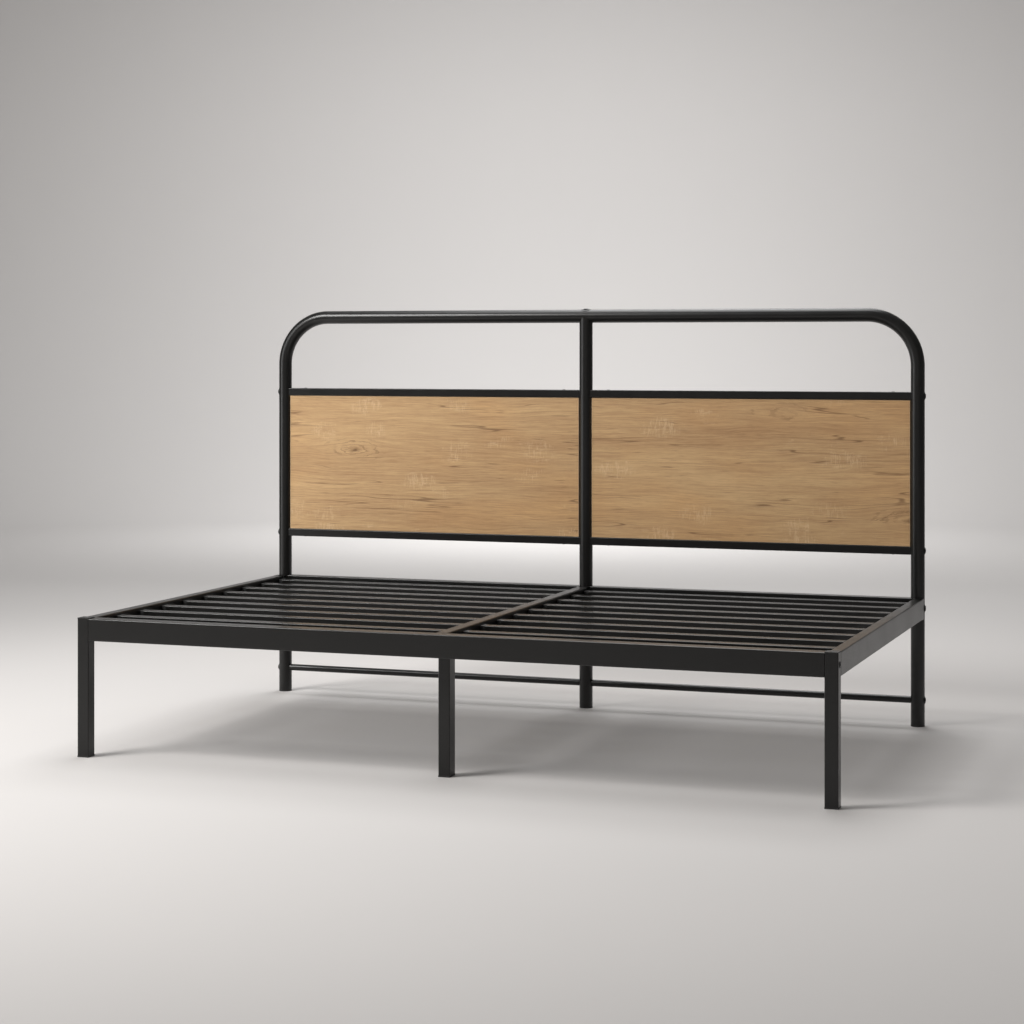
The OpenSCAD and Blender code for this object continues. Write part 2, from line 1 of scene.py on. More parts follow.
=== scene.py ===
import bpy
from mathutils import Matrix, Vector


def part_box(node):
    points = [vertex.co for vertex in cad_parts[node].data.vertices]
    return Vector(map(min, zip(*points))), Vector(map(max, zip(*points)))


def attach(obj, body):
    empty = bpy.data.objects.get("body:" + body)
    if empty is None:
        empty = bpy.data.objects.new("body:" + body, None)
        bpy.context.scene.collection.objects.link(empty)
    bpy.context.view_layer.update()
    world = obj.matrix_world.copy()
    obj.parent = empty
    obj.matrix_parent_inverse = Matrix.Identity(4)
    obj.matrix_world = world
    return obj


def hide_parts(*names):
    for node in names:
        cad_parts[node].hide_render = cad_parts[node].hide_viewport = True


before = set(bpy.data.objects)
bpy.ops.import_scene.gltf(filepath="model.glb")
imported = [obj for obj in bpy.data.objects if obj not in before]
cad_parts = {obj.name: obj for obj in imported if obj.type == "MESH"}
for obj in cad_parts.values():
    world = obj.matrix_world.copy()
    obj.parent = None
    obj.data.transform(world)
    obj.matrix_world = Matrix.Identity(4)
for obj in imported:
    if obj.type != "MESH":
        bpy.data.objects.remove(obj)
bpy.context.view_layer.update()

import math

import bmesh
import bpy
from mathutils import Vector

bl_info = {
    "name": "Slatted Bed Frame",
    "version": (1, 0, 0),
    "blender": (4, 5, 0),
    "location": "View3D > Sidebar > Bed Frame",
    "description": "Dresses a knock-down steel bed frame: tubes, boards, slats, welds, bolts and paint",
    "category": "Object",
}

BODY = "root"
SIDES = ("left", "right")
SIGN = {"left": -1, "right": 1}
X_AXIS, Y_AXIS, Z_AXIS = (1.0, 0.0, 0.0), (0.0, 1.0, 0.0), (0.0, 0.0, 1.0)
QUARTER = math.radians(90)
LAID_X, LAID_Y, UPRIGHT = (0.0, QUARTER, 0.0), (QUARTER, 0.0, 0.0), (0.0, 0.0, 0.0)
TUBE_SIDES, BEND_STEPS, CORNER_STEPS = 64, 40, 5
CUTTER_SIDES = 2 * TUBE_SIDES
DOUBLES = 1e-6  # points nearer than this are one point
SHARP_ANGLE, ROUNDED_ANGLE, FLAT_ANGLE = math.radians(35), math.radians(40), math.radians(1)
FLAT_FACE_WEIGHT = 80
BORE_OVERRUN = 0.002  # how far a bore's cutter runs past a tube's ends


# ---- places read from the frame ----

def middle(node):
    low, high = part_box(node)
    return (low + high) / 2


def extent(node):
    low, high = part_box(node)
    return high - low


POST_Y = middle("centre_post").y
POST_R = extent("centre_post").x / 2
POST_X = {side: SIGN[side] * (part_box("right_head_tube")[1].x - POST_R) for side in SIDES}
TOP_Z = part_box("right_head_tube")[1].z - POST_R
FOOT_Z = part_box("centre_post")[0].z
SEAM_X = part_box("right_head_tube")[0].x
SWAGE_END_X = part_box("left_head_tube")[1].x
CROSS_NODES = ("upper_bar_", "lower_bar_", "head_rail_", "stretcher_")
CROSS_LEVELS = [middle(node + "left").z for node in CROSS_NODES]
RAIL_MID_Z = middle("head_rail_left").z
SLAT_COUNT = sum(name.startswith("slat_left_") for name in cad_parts)


# ---- the sizes and colours that a user would change ----

def length(name, default, description):
    return bpy.props.FloatProperty(
        name=name, description=description, default=default, min=0.0, unit="LENGTH", precision=4
    )


def amount(name, default, description, high=1.0):
    return bpy.props.FloatProperty(
        name=name, description=description, default=default, min=0.0, max=high
    )


def power(name, default, description):
    return amount(name, default, description, 5000.0)


def colour(name, default, description):
    return bpy.props.FloatVectorProperty(
        name=name, description=description, default=default, size=3, min=0.0, max=1.0, subtype="COLOR"
    )


class BedFrameSizes(bpy.types.PropertyGroup):
    """Sizes of the details that the frame's boxes don't give"""

    bend_radius: length("Bend radius", 0.140, "Bend of the top corners on the tube's centre line")
    tube_wall: length("Tube wall", 0.0012, "Wall of the round and square tubes")
    rail_corner: length("Rail corner", 0.0030, "Outer corner radius of the rails and legs")
    bar_corner: length("Bar corner", 0.0022, "Outer corner radius of the bars and slats")
    board_ease: length("Board ease", 0.0014, "Eased edge of the wood boards")
    cast_ease: length("Cast ease", 0.0008, "Rounded edge of the plates and caps")
    ledge_plate: length("Ledge plate", 0.002, "Thickness of the folded slat ledges")
    ledge_fold: length("Ledge fold", 0.003, "Outer radius of the fold in a slat ledge")
    rail_bolt_pitch: length("Rail bolt pitch", 0.028, "Distance between a rail's two end bolts")
    bolt_head: length("Bolt head", 0.015, "Diameter of the frame bolts' heads")
    bolt_rise: length("Bolt rise", 0.0018, "Height of the frame bolts' heads")
    bolt_shank: length("Bolt shank", 0.008, "Diameter of the frame bolts")
    washer_plate: length("Washer plate", 0.0010, "Thickness of the curved washers")
    washer_width: length("Washer width", 0.020, "Diameter of the posts' curved washers")
    top_washer_width: length("Top washer width", 0.028, "Diameter of the top tube's curved washer")
    weld_radius: length("Weld radius", 0.0018, "Radius of a weld bead")
    weld_ripple: length("Weld ripple", 0.0026, "Distance between the ripples of a weld bead")
    weld_stitch: length("Weld stitch", 0.030, "Length of one stitch of weld under a ledge")
    weld_gap: length("Weld gap", 0.150, "Distance from one stitch to the next")


class BedFrameFinish(bpy.types.PropertyGroup):
    """Colours and gloss of the finishes"""

    paint: colour("Paint", (0.0031, 0.0030, 0.0027), "Powder coat on all the steel")
    paint_dust: colour("Settled dust", (0.085, 0.078, 0.068), "Dust on faces that look up")
    paint_roughness: amount("Paint roughness", 0.30, "Roughness of the powder coat")
    oak_light: colour("Oak, light", (0.645, 0.427, 0.216), "Pale early wood")
    oak_dark: colour("Oak, dark", (0.370, 0.208, 0.098), "Dark late wood")
    oak_crack: colour("Oak, cracks", (0.130, 0.062, 0.026), "Knots and cracks")
    oak_band: colour("Edge band", (0.640, 0.470, 0.300), "Edge band round the boards")
    plastic: colour("Plastic", (0.012, 0.012, 0.012), "Caps and slat end blocks")
    bolts: colour("Bolts", (0.022, 0.022, 0.022), "Black oxide on the fasteners")
    zinc: colour("Zinc", (0.340, 0.340, 0.330), "Zinc on the threaded inserts")


class BedFrameStudio(bpy.types.PropertyGroup):
    """Camera, light and backdrop"""

    camera_place: bpy.props.FloatVectorProperty(
        name="Camera place", description="Where the camera stands", size=3,
        default=(1.9755, -5.5892, 1.0323), subtype="TRANSLATION", unit="LENGTH",
    )
    camera_turn: bpy.props.FloatProperty(
        name="Camera turn", description="Turn of the level camera to the left of +Y",
        default=math.radians(19.64), subtype="ANGLE",
    )
    camera_lens: bpy.props.FloatProperty(
        name="Lens", description="Focal length", default=79.2, min=10.0, unit="CAMERA"
    )
    camera_drop: bpy.props.FloatProperty(
        name="Lens drop", description="Vertical shift, as a share of the sensor", default=-0.160
    )
    floor_radius: length("Floor radius", 7.5, "Radius of the round studio's flat floor")
    cove_radius: length("Cove radius", 2.5, "Radius of the cove between the floor and the wall")
    wall_height: length("Wall height", 7.0, "Height of the studio's wall")
    paper: colour("Paper", (0.56, 0.543, 0.532), "Seamless paper of the floor and wall")
    # a darker paper colour away from the bed: painted shade, a falloff of light painted into the paper
    paper_painted_falloff: colour("Paper, far", (0.50, 0.486, 0.477), "The same paper away from the bed")
    key_power: power("Key power", 162.0, "Soft light, front left")
    side_power: power("Side power", 28.0, "Tall soft light on the left, for the posts' highlights")
    top_power: power("Top power", 78.0, "Soft light above")
    wall_power: power("Wall power", 152.0, "Light on the wall behind the headboard")
    room_power: power("Room power", 60.0, "Light on the wall before the foot end")
    far_power: power("Far power", 146.0, "Light on the floor behind the headboard")
    fill: amount("Fill", 0.215, "Strength of the even light from all around", 5.0)


# ---- building geometry trees ----

def new_tree(name, sockets):
    """An empty geometry tree with named inputs, a Material input and one geometry output."""
    tree = bpy.data.node_groups.new(name, "GeometryNodeTree")
    face = tree.interface
    face.new_socket("Geometry", in_out="INPUT", socket_type="NodeSocketGeometry")
    for label, kind in sockets.items():
        face.new_socket(label, in_out="INPUT", socket_type="NodeSocket" + kind)
    face.new_socket("Material", in_out="INPUT", socket_type="NodeSocketMaterial")
    face.new_socket("Geometry", in_out="OUTPUT", socket_type="NodeSocketGeometry")
    given = tree.nodes.new("NodeGroupInput")
    return tree, given.outputs


def node(tree, kind, inputs=None, output=0, **settings):
    """Adds a node, sets or links its inputs, and returns one of its outputs."""
    made = tree.nodes.new(kind)
    for name, value in settings.items():
        setattr(made, name, value)
    for name, value in (inputs or {}).items():
        if isinstance(value, bpy.types.NodeSocket):
            tree.links.new(value, made.inputs[name])
        else:
            made.inputs[name].default_value = value
    return made.outputs[output]


def joined(tree, *parts):
    join = tree.nodes.new("GeometryNodeJoinGeometry")
    for part in parts:
        tree.links.new(part, join.inputs[0])
    return join.outputs[0]


def maths(tree, operation, a, b=0.0):
    return node(tree, "ShaderNodeMath", {0: a, 1: b}, operation=operation)


def vector(tree, x=0.0, y=0.0, z=0.0):
    return node(tree, "ShaderNodeCombineXYZ", {"X": x, "Y": y, "Z": z})


def close_tree(tree, given, geometry):
    """Ends a tree in Realize Instances and Set Material."""
    real = node(tree, "GeometryNodeRealizeInstances", {"Geometry": geometry})
    painted = node(tree, "GeometryNodeSetMaterial", {"Geometry": real, "Material": given["Material"]})
    out = tree.nodes.new("NodeGroupOutput")
    tree.links.new(painted, out.inputs[0])
    return tree


def ring_section(tree, width, height, corner, wall):
    """A flat ring in the XY plane: a rectangle with round corners, less the same a wall inside it."""
    def outline(inset):
        both_sides = maths(tree, "MULTIPLY", inset, 2.0)
        quad = node(tree, "GeometryNodeCurvePrimitiveQuadrilateral", {
            "Width": maths(tree, "SUBTRACT", width, both_sides),
            "Height": maths(tree, "SUBTRACT", height, both_sides),
        })
        return filleted(tree, quad, maths(tree, "SUBTRACT", corner, inset), CORNER_STEPS)
    return node(tree, "GeometryNodeFillCurve", {
        "Curve": joined(tree, outline(0.0), outline(wall)),
    }, mode="TRIANGLES")


def filleted(tree, curve, radius, steps):
    return node(tree, "GeometryNodeFilletCurve", {
        "Curve": curve, "Radius": radius, "Count": steps, "Limit Radius": True,
    }, mode="POLY")


def drawn_tube(tree, given):
    """A rectangular tube with round corners and a real wall, along +Z from the origin."""
    ring = ring_section(tree, given["Width"], given["Height"], given["Corner"], given["Wall"])
    raised = node(tree, "GeometryNodeExtrudeMesh", {
        "Mesh": ring, "Offset": vector(tree, z=given["Length"]), "Individual": False,
    }, mode="FACES")
    floor = node(tree, "GeometryNodeFlipFaces", {"Mesh": ring})
    return node(tree, "GeometryNodeMergeByDistance", {
        "Geometry": joined(tree, raised, floor), "Distance": DOUBLES,
    })


def placed_tube(tree, given):
    """A drawn tube, turned and then moved to its start."""
    return node(tree, "GeometryNodeTransform", {
        "Geometry": drawn_tube(tree, given), "Translation": given["Start"], "Rotation": given["Turn"],
    })


def cut_away(tree, mesh, cutter):
    """The mesh without what lies inside the cutter."""
    boolean = tree.nodes.new("GeometryNodeMeshBoolean")
    boolean.operation = "DIFFERENCE"
    boolean.solver = "MANIFOLD"
    tree.links.new(mesh, boolean.inputs["Mesh 1"])
    tree.links.new(cutter, boolean.inputs["Mesh 2"])
    return boolean.outputs[0]


def coped(tree, given, mesh):
    """The mesh with its ends shaped to the Cutter object."""
    cutter = node(tree, "GeometryNodeObjectInfo", {"Object": given["Cutter"]}, output=4)
    return cut_away(tree, mesh, cutter)


TUBE_INPUTS = {
    **dict.fromkeys(("Length", "Width", "Height", "Wall", "Corner"), "Float"),
    "Start": "Vector", "Turn": "Vector",
}


def square_tube_tree():
    """A straight rectangular tube."""
    tree, given = new_tree("Square Tube", TUBE_INPUTS)
    return close_tree(tree, given, placed_tube(tree, given))


def coped_tube_tree():
    """A rectangular tube whose ends are coped to the round posts."""
    tree, given = new_tree("Coped Tube", {**TUBE_INPUTS, "Cutter": "Object"})
    return close_tree(tree, given, coped(tree, given, placed_tube(tree, given)))


def bent_tube_tree():
    """A round tube along the object's own line, its corners bent to a radius, with a real wall."""
    tree, given = new_tree("Bent Tube", {
        "Radius": "Float", "Wall": "Float", "Bend": "Float", "Cutter": "Object",
    })
    line = node(tree, "GeometryNodeMeshToCurve", {"Mesh": given["Geometry"]})

    def rod(radius, run_over):
        end = node(tree, "GeometryNodeCurveEndpointSelection", {"Start Size": 0, "End Size": 1})
        both = node(tree, "GeometryNodeCurveEndpointSelection", {"Start Size": 1, "End Size": 1})
        tangent = node(tree, "GeometryNodeInputTangent")
        way = maths(tree, "SUBTRACT", maths(tree, "MULTIPLY", end, 2.0), 1.0)
        step = node(tree, "ShaderNodeVectorMath", {
            0: tangent, "Scale": maths(tree, "MULTIPLY", way, run_over),
        }, operation="SCALE")
        longer = node(tree, "GeometryNodeSetPosition", {
            "Geometry": line, "Selection": both, "Offset": step,
        })
        circle = node(tree, "GeometryNodeCurvePrimitiveCircle", {
            "Resolution": TUBE_SIDES, "Radius": radius,
        })
        return node(tree, "GeometryNodeCurveToMesh", {
            "Curve": filleted(tree, longer, given["Bend"], BEND_STEPS), "Profile Curve": circle,
            "Fill Caps": True,
        })

    bore = rod(maths(tree, "SUBTRACT", given["Radius"], given["Wall"]), BORE_OVERRUN)
    hollow = cut_away(tree, rod(given["Radius"], 0.0), bore)
    return close_tree(tree, given, coped(tree, given, hollow))


def slat_bank_tree():
    """One bank of slats: a tube along X, repeated along Y at an even pitch."""
    tree, given = new_tree("Slat Bank", {**TUBE_INPUTS, "Count": "Int", "Pitch": "Float"})
    slat = node(tree, "GeometryNodeTransform", {
        "Geometry": drawn_tube(tree, given), "Rotation": given["Turn"],
    })
    row = node(tree, "GeometryNodeMeshLine", {
        "Count": given["Count"], "Start Location": given["Start"],
        "Offset": vector(tree, y=given["Pitch"]),
    })
    bank = node(tree, "GeometryNodeInstanceOnPoints", {"Points": row, "Instance": slat})
    return close_tree(tree, given, bank)


def fastener_tree():
    """A template at every point, turned to the point's facing and along, and stretched in its Z."""
    tree, given = new_tree("Fasteners", {"Template": "Object"})

    def stored(name, kind):
        return node(tree, "GeometryNodeInputNamedAttribute", {"Name": name}, data_type=kind)

    facing = node(tree, "FunctionNodeAlignRotationToVector", {
        "Vector": stored("facing", "FLOAT_VECTOR"),
    }, axis="Z")
    turned = node(tree, "FunctionNodeAlignRotationToVector", {
        "Rotation": facing, "Vector": stored("along", "FLOAT_VECTOR"),
    }, axis="Y", pivot_axis="Z")
    template = node(tree, "GeometryNodeObjectInfo", {"Object": given["Template"]}, output=4)
    copies = node(tree, "GeometryNodeInstanceOnPoints", {
        "Points": given["Geometry"], "Instance": template, "Rotation": turned,
        "Scale": vector(tree, 1.0, 1.0, stored("stretch", "FLOAT")),
    })
    return close_tree(tree, given, copies)


BEAD_SIDES, RINGS_PER_RIPPLE = 8, 5.0
RIPPLE_SHARE, ROUGH_SHARE = 0.13, 0.08  # how much the bead's width varies
TAPER_RATE, TIP_SHARE = 14.0, 0.08  # how fast the bead grows from its tips


def weld_tree():
    """A rippled bead of weld along each of the object's own lines."""
    tree, given = new_tree("Weld Bead", {"Radius": "Float", "Ripple": "Float", "Seed": "Int"})
    line = node(tree, "GeometryNodeMeshToCurve", {"Mesh": given["Geometry"]})
    fine = node(tree, "GeometryNodeResampleCurve", {
        "Curve": line, "Length": maths(tree, "DIVIDE", given["Ripple"], RINGS_PER_RIPPLE),
    }, mode="LENGTH")
    place = node(tree, "GeometryNodeSplineParameter", output=1)
    share = node(tree, "GeometryNodeSplineParameter", output=0)
    turns = maths(tree, "MULTIPLY", maths(tree, "DIVIDE", place, given["Ripple"]), math.tau)
    ripple = maths(tree, "MULTIPLY", maths(tree, "SINE", turns), RIPPLE_SHARE)
    rough = node(tree, "FunctionNodeRandomValue", {
        2: 1.0 - ROUGH_SHARE, 3: 1.0 + ROUGH_SHARE, "Seed": given["Seed"],
    }, output=1)
    ends = maths(tree, "MULTIPLY", maths(tree, "PINGPONG", share, 0.5), TAPER_RATE)
    taper = maths(tree, "SQRT", maths(tree, "MINIMUM", maths(tree, "ADD", ends, TIP_SHARE), 1.0))
    width = maths(tree, "MULTIPLY", maths(tree, "ADD", ripple, rough), taper)
    profile = node(tree, "GeometryNodeCurvePrimitiveCircle", {
        "Resolution": BEAD_SIDES, "Radius": given["Radius"],
    })
    bead = node(tree, "GeometryNodeCurveToMesh", {
        "Curve": fine, "Profile Curve": profile, "Scale": width, "Fill Caps": True,
    })
    return close_tree(tree, given, bead)


TREES = {}


def tree_named(make):
    """Builds each tree once."""
    if make.__name__ not in TREES:
        TREES[make.__name__] = make()
    return TREES[make.__name__]


# ---- making plain meshes ----

def add_object(name, mesh):
    made = bpy.data.objects.new(name, mesh)
    bpy.context.scene.collection.objects.link(made)
    return made


def drop(thing):
    bpy.data.objects.remove(thing)


def coat(mesh, material):
    """One material on every face."""
    mesh.materials.clear()
    mesh.materials.append(material)
    mesh.polygons.foreach_set("material_index", [0] * len(mesh.polygons))


def mesh_from(name, shape):
    """A mesh from a bmesh, which is freed."""
    mesh = bpy.data.meshes.new(name)
    shape.to_mesh(mesh)
    shape.free()
    return mesh


def line_object(name, lines):
    """An object with one open line of edges for each list of points."""
    points = [p for line in lines for p in line]
    edges, start = [], 0
    for line in lines:
        edges += [(start + i, start + i + 1) for i in range(len(line) - 1)]
        start += len(line)
    mesh = bpy.data.meshes.new(name)
    mesh.from_pydata(points, edges, [])
    return add_object(name, mesh)


def grow(name, make, material, base=None, **values):
    """Runs a geometry tree and keeps its result as a plain mesh object."""
    base = base or add_object(name + "_base", bpy.data.meshes.new(name + "_base"))
    tree = tree_named(make)
    step = base.modifiers.new("Grow", "NODES")
    step.node_group = tree
    values["Material"] = material
    for item in tree.interface.items_tree:
        if item.item_type == "SOCKET" and item.in_out == "INPUT" and item.name in values:
            step[item.identifier] = values[item.name]
    graph = bpy.context.evaluated_depsgraph_get()
    mesh = bpy.data.meshes.new_from_object(base.evaluated_get(graph), depsgraph=graph)
    base.modifiers.clear()
    drop(base)
    mesh.name = name
    coat(mesh, material)
    return add_object(name, mesh)


def shade_smooth(mesh):
    mesh.polygons.foreach_set("use_smooth", [True] * len(mesh.polygons))


def smooth(piece):
    """Smooth shading, with sharp edges kept and large flat faces left flat."""
    shade_smooth(piece.data)
    piece.data.set_sharp_from_angle(angle=SHARP_ANGLE)
    even = piece.modifiers.new("Even", "WEIGHTED_NORMAL")
    even.keep_sharp = True
    even.weight = FLAT_FACE_WEIGHT
    return piece


def finish(piece, nodes):
    """Puts a finished piece in the place of its CAD nodes."""
    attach(piece, BODY)
    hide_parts(*nodes)
    return piece


def merged(name, pieces):
    """Joins several mesh objects into one."""
    shape = bmesh.new()
    material = pieces[0].data.materials[0]
    for piece in pieces:
        shape.from_mesh(piece.data)
        drop(piece)
    mesh = mesh_from(name, shape)
    coat(mesh, material)
    return add_object(name, mesh)


def turned(name, rings, segments=24):
    """A closed turned shape. Each ring is (radius, height, sides): 0 sides is round, 6 is a hexagon."""
    shape = bmesh.new()

    def reach(radius, sides, angle):
        if not sides:
            return radius
        half = math.pi / sides
        return radius / math.cos((angle % (2 * half)) - half)

    loops = []
    for radius, height, sides in rings:
        loop = []
        for i in range(segments):
            angle = math.tau * i / segments
            r = reach(radius, sides, angle)
            loop.append(shape.verts.new((r * math.cos(angle), r * math.sin(angle), height)))
        loops.append(loop)
    for low, high in zip(loops, loops[1:]):
        for i in range(segments):
            j = (i + 1) % segments
            shape.faces.new((low[i], low[j], high[j], high[i]))
    shape.faces.new(reversed(loops[0]))
    shape.faces.new(loops[-1])
    return add_object(name, mesh_from(name, shape))


EDGE_BREAK = 0.0002  # the small bevel at the edges of turned parts
DOME_STEPS, DOME_STEP = 7, math.radians(15)
RIM_SHARE, SOCKET_FLOOR = 0.35, 0.3  # shares of a head's height
TIP_WIDTH, TIP_START = 0.85, -0.985  # a shank's tip, as shares of its width and length


def domed_head(name, width, rise, socket):
    """A low domed bolt head with a hexagon socket, sitting on z = 0."""
    half, rim = width / 2, rise * RIM_SHARE
    rings = [(half - EDGE_BREAK, 0.0, 0), (half, EDGE_BREAK, 0)]
    for step in range(DOME_STEPS):
        angle = DOME_STEP * step
        inward = (1 - math.cos(angle)) * width / 4
        rings.append((half - inward, rim + math.sin(angle) * (rise - rim), 0))
    rings += [(socket / 2 + EDGE_BREAK, rise, 6), (socket / 2, rise - EDGE_BREAK, 6)]
    rings.append((socket / 2, rise * SOCKET_FLOOR, 6))
    return turned(name, rings)


def shank(name, width):
    """A plain shank one metre long below z = 0, to be stretched to its own length."""
    rings = [(width / 2 * TIP_WIDTH, -1.0, 0), (width / 2, TIP_START, 0), (width / 2, 0.0, 0)]
    return turned(name, rings, 16)


def curved_washer(name, width, hole):
    """A washer that hugs a post. The post's axis is Y, through the origin, and the washer faces +Z."""
    plate = bpy.context.scene.bed_sizes.washer_plate
    shape = bmesh.new()
    segments, rows = 32, 3
    radii = [hole / 2 + (width - hole) / 2 * i / rows for i in range(rows + 1)]

    def sheet(over):
        loops = []
        for radius in radii:
            loop = []
            for i in range(segments):
                angle = math.tau * i / segments
                x, y = radius * math.cos(angle), radius * math.sin(angle)
                loop.append(shape.verts.new((x, y, math.sqrt(over * over - x * x))))
            loops.append(loop)
        return loops

    low, high = sheet(POST_R), sheet(POST_R + plate)
    for i in range(segments):
        j = (i + 1) % segments
        for row in range(rows):
            shape.faces.new((high[row][i], high[row + 1][i], high[row + 1][j], high[row][j]))
            shape.faces.new((low[row][j], low[row + 1][j], low[row + 1][i], low[row][i]))
        shape.faces.new((low[-1][i], low[-1][j], high[-1][j], high[-1][i]))
        shape.faces.new((low[0][j], low[0][i], high[0][i], high[0][j]))
    return add_object(name, mesh_from(name, shape))


def fastener_points(name, places):
    """Points for the fastener tree, from (place, facing, along, stretch)."""
    mesh = bpy.data.meshes.new(name)
    mesh.from_pydata([p[0] for p in places], [], [])
    for label, kind, index in (("facing", "FLOAT_VECTOR", 1), ("along", "FLOAT_VECTOR", 2)):
        layer = mesh.attributes.new(label, kind, "POINT")
        layer.data.foreach_set("vector", [c for p in places for c in p[index]])
    layer = mesh.attributes.new("stretch", "FLOAT", "POINT")
    layer.data.foreach_set("value", [p[3] for p in places])
    return add_object(name, mesh)


def scattered(name, template, places, material):
    """Copies a template to all the places, as one mesh. The template is kept for the next call."""
    points = fastener_points(name + "_points", places)
    return grow(name, fastener_tree, material, base=points, Template=template)


def extruded(name, outline, start, end):
    """A closed solid from an outline of (x, z) points, from y = start to y = end."""
    shape = bmesh.new()
    near = [shape.verts.new((x, start, z)) for x, z in outline]
    far = [shape.verts.new((x, end, z)) for x, z in outline]
    shape.faces.new(near)
    shape.faces.new(reversed(far))
    for i in range(len(outline)):
        j = (i + 1) % len(outline)
        shape.faces.new((near[j], near[i], far[i], far[j]))
    bmesh.ops.recalc_face_normals(shape, faces=shape.faces)
    return add_object(name, mesh_from(name, shape))


def softened(name, source, ease, material, segments=3):
    """A copy of a CAD node with its doubles merged, its flats joined and its edges rounded."""
    shape = bmesh.new()
    shape.from_mesh(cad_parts[source].data)
    bmesh.ops.remove_doubles(shape, verts=shape.verts, dist=DOUBLES)
    bmesh.ops.dissolve_limit(
        shape, angle_limit=FLAT_ANGLE, verts=shape.verts, edges=shape.edges
    )
    mesh = mesh_from(name, shape)
    mesh.materials.append(material)
    piece = add_object(name, mesh)
    shade_smooth(mesh)
    round_edges = piece.modifiers.new("Round", "BEVEL")
    round_edges.width = ease
    round_edges.segments = segments
    round_edges.limit_method = "ANGLE"
    round_edges.angle_limit = ROUNDED_ANGLE
    round_edges.use_clamp_overlap = True
    round_edges.miter_outer = "MITER_ARC"
    even = piece.modifiers.new("Even", "WEIGHTED_NORMAL")
    even.keep_sharp = True
    return piece


def post_cutter():
    """Three upright rods in the place of the posts, which cope the tubes between them."""
    shape = bmesh.new()
    for x in (POST_X["left"], 0.0, POST_X["right"]):
        made = bmesh.ops.create_cone(
            shape, cap_ends=True, segments=CUTTER_SIDES, radius1=POST_R, radius2=POST_R,
            depth=2 * TOP_Z,
        )
        bmesh.ops.translate(shape, verts=made["verts"], vec=(x, POST_Y, TOP_Z))
    return add_object("post_cutter", mesh_from("post_cutter", shape))


# ---- finishes ----

class Finish:
    """A node material under construction."""

    def __init__(self, name):
        self.material = bpy.data.materials.new(name)
        self.material.use_nodes = True
        self.tree = self.material.node_tree
        self.shader = self.tree.nodes["Principled BSDF"]
        self.place = node(self.tree, "ShaderNodeTexCoord", output=3)

    def stretched(self, x=1.0, y=1.0, z=1.0, source=None):
        source = source or self.place
        return node(self.tree, "ShaderNodeMapping", {"Vector": source, "Scale": (x, y, z)})

    def noise(self, scale, detail=2.0, roughness=0.5, distortion=0.0, source=None):
        return node(self.tree, "ShaderNodeTexNoise", {
            "Vector": source or self.place, "Scale": scale, "Detail": detail,
            "Roughness": roughness, "Distortion": distortion,
        })

    def spread(self, value, low, high, new_low=0.0, new_high=1.0, smooth_step=True):
        return node(self.tree, "ShaderNodeMapRange", {
            "Value": value, "From Min": low, "From Max": high, "To Min": new_low, "To Max": new_high,
        }, interpolation_type="SMOOTHSTEP" if smooth_step else "LINEAR")

    def blend(self, share, first, second):
        mix = self.tree.nodes.new("ShaderNodeMix")
        mix.data_type = "RGBA"
        for index, value in ((0, share), (6, first), (7, second)):
            if isinstance(value, bpy.types.NodeSocket):
                self.tree.links.new(value, mix.inputs[index])
            elif index:
                mix.inputs[index].default_value = (*value, 1.0)
            else:
                mix.inputs[index].default_value = value
        return mix.outputs[2]

    def maths(self, operation, a, b=0.0):
        return maths(self.tree, operation, a, b)

    def times(self, a, b):
        return self.maths("MULTIPLY", a, b)

    def plus(self, a, b):
        return self.maths("ADD", a, b)

    def mid(self, value, low, high):
        """Spreads the middle of a noise, where nearly all of it lies, from low to high."""
        return self.spread(value, 0.3, 0.7, low, high)

    def upward(self, start, end):
        """How far a face looks up, from 0 at the start slope to 1 at the end slope."""
        normal = node(self.tree, "ShaderNodeNewGeometry", output=1)
        height = node(self.tree, "ShaderNodeSeparateXYZ", {0: normal}, output=2)
        return self.spread(height, start, end)

    def set(self, **values):
        for label, value in values.items():
            socket = self.shader.inputs[label.replace("_", " ")]
            if isinstance(value, bpy.types.NodeSocket):
                self.tree.links.new(value, socket)
            elif isinstance(value, float):
                socket.default_value = value
            else:
                socket.default_value = (*value, 1.0)

    def bump(self, height, distance, strength=1.0):
        made = node(self.tree, "ShaderNodeBump", {
            "Height": height, "Distance": distance, "Strength": strength,
        })
        self.tree.links.new(made, self.shader.inputs["Normal"])


def lighter(tint, times):
    return [c * times for c in tint]


def powder_coat(looks):
    """Satin black powder coat: fine orange peel, faint mottling and a little dust on what looks up."""
    made = Finish("powder_coat")
    peel = made.noise(1100.0, 2.0, 0.55)
    mottle = made.noise(9.0, 3.0, 0.6)
    patchy = made.spread(made.noise(5.0, 4.0, 0.62), 0.3, 0.75, 0.35, 1.0)
    settled = made.times(made.upward(0.55, 0.98), patchy)
    speckle = made.spread(made.noise(2600.0, 1.0), 0.62, 0.72)
    paint = made.blend(mottle, looks.paint, lighter(looks.paint, 1.35))
    fleck = made.blend(made.times(speckle, 0.3), paint, lighter(looks.paint, 3.0))
    gloss = looks.paint_roughness
    made.set(
        Base_Color=made.blend(made.times(settled, 0.05), fleck, looks.paint_dust),
        Roughness=made.plus(made.mid(mottle, gloss - 0.015, gloss + 0.02), made.times(settled, 0.04)),
        Specular_IOR_Level=0.5,
    )
    made.bump(peel, 0.00010)
    return made.material


def moulded_plastic(looks):
    """Matt black moulded plastic with a fine spark-eroded grain."""
    made = Finish("moulded_plastic")
    grain = made.noise(2400.0, 3.0, 0.7)
    shade = made.noise(30.0, 2.0)
    made.set(
        Base_Color=made.blend(shade, looks.plastic, lighter(looks.plastic, 1.6)),
        Roughness=made.mid(grain, 0.50, 0.66),
    )
    made.bump(grain, 0.00006)
    return made.material


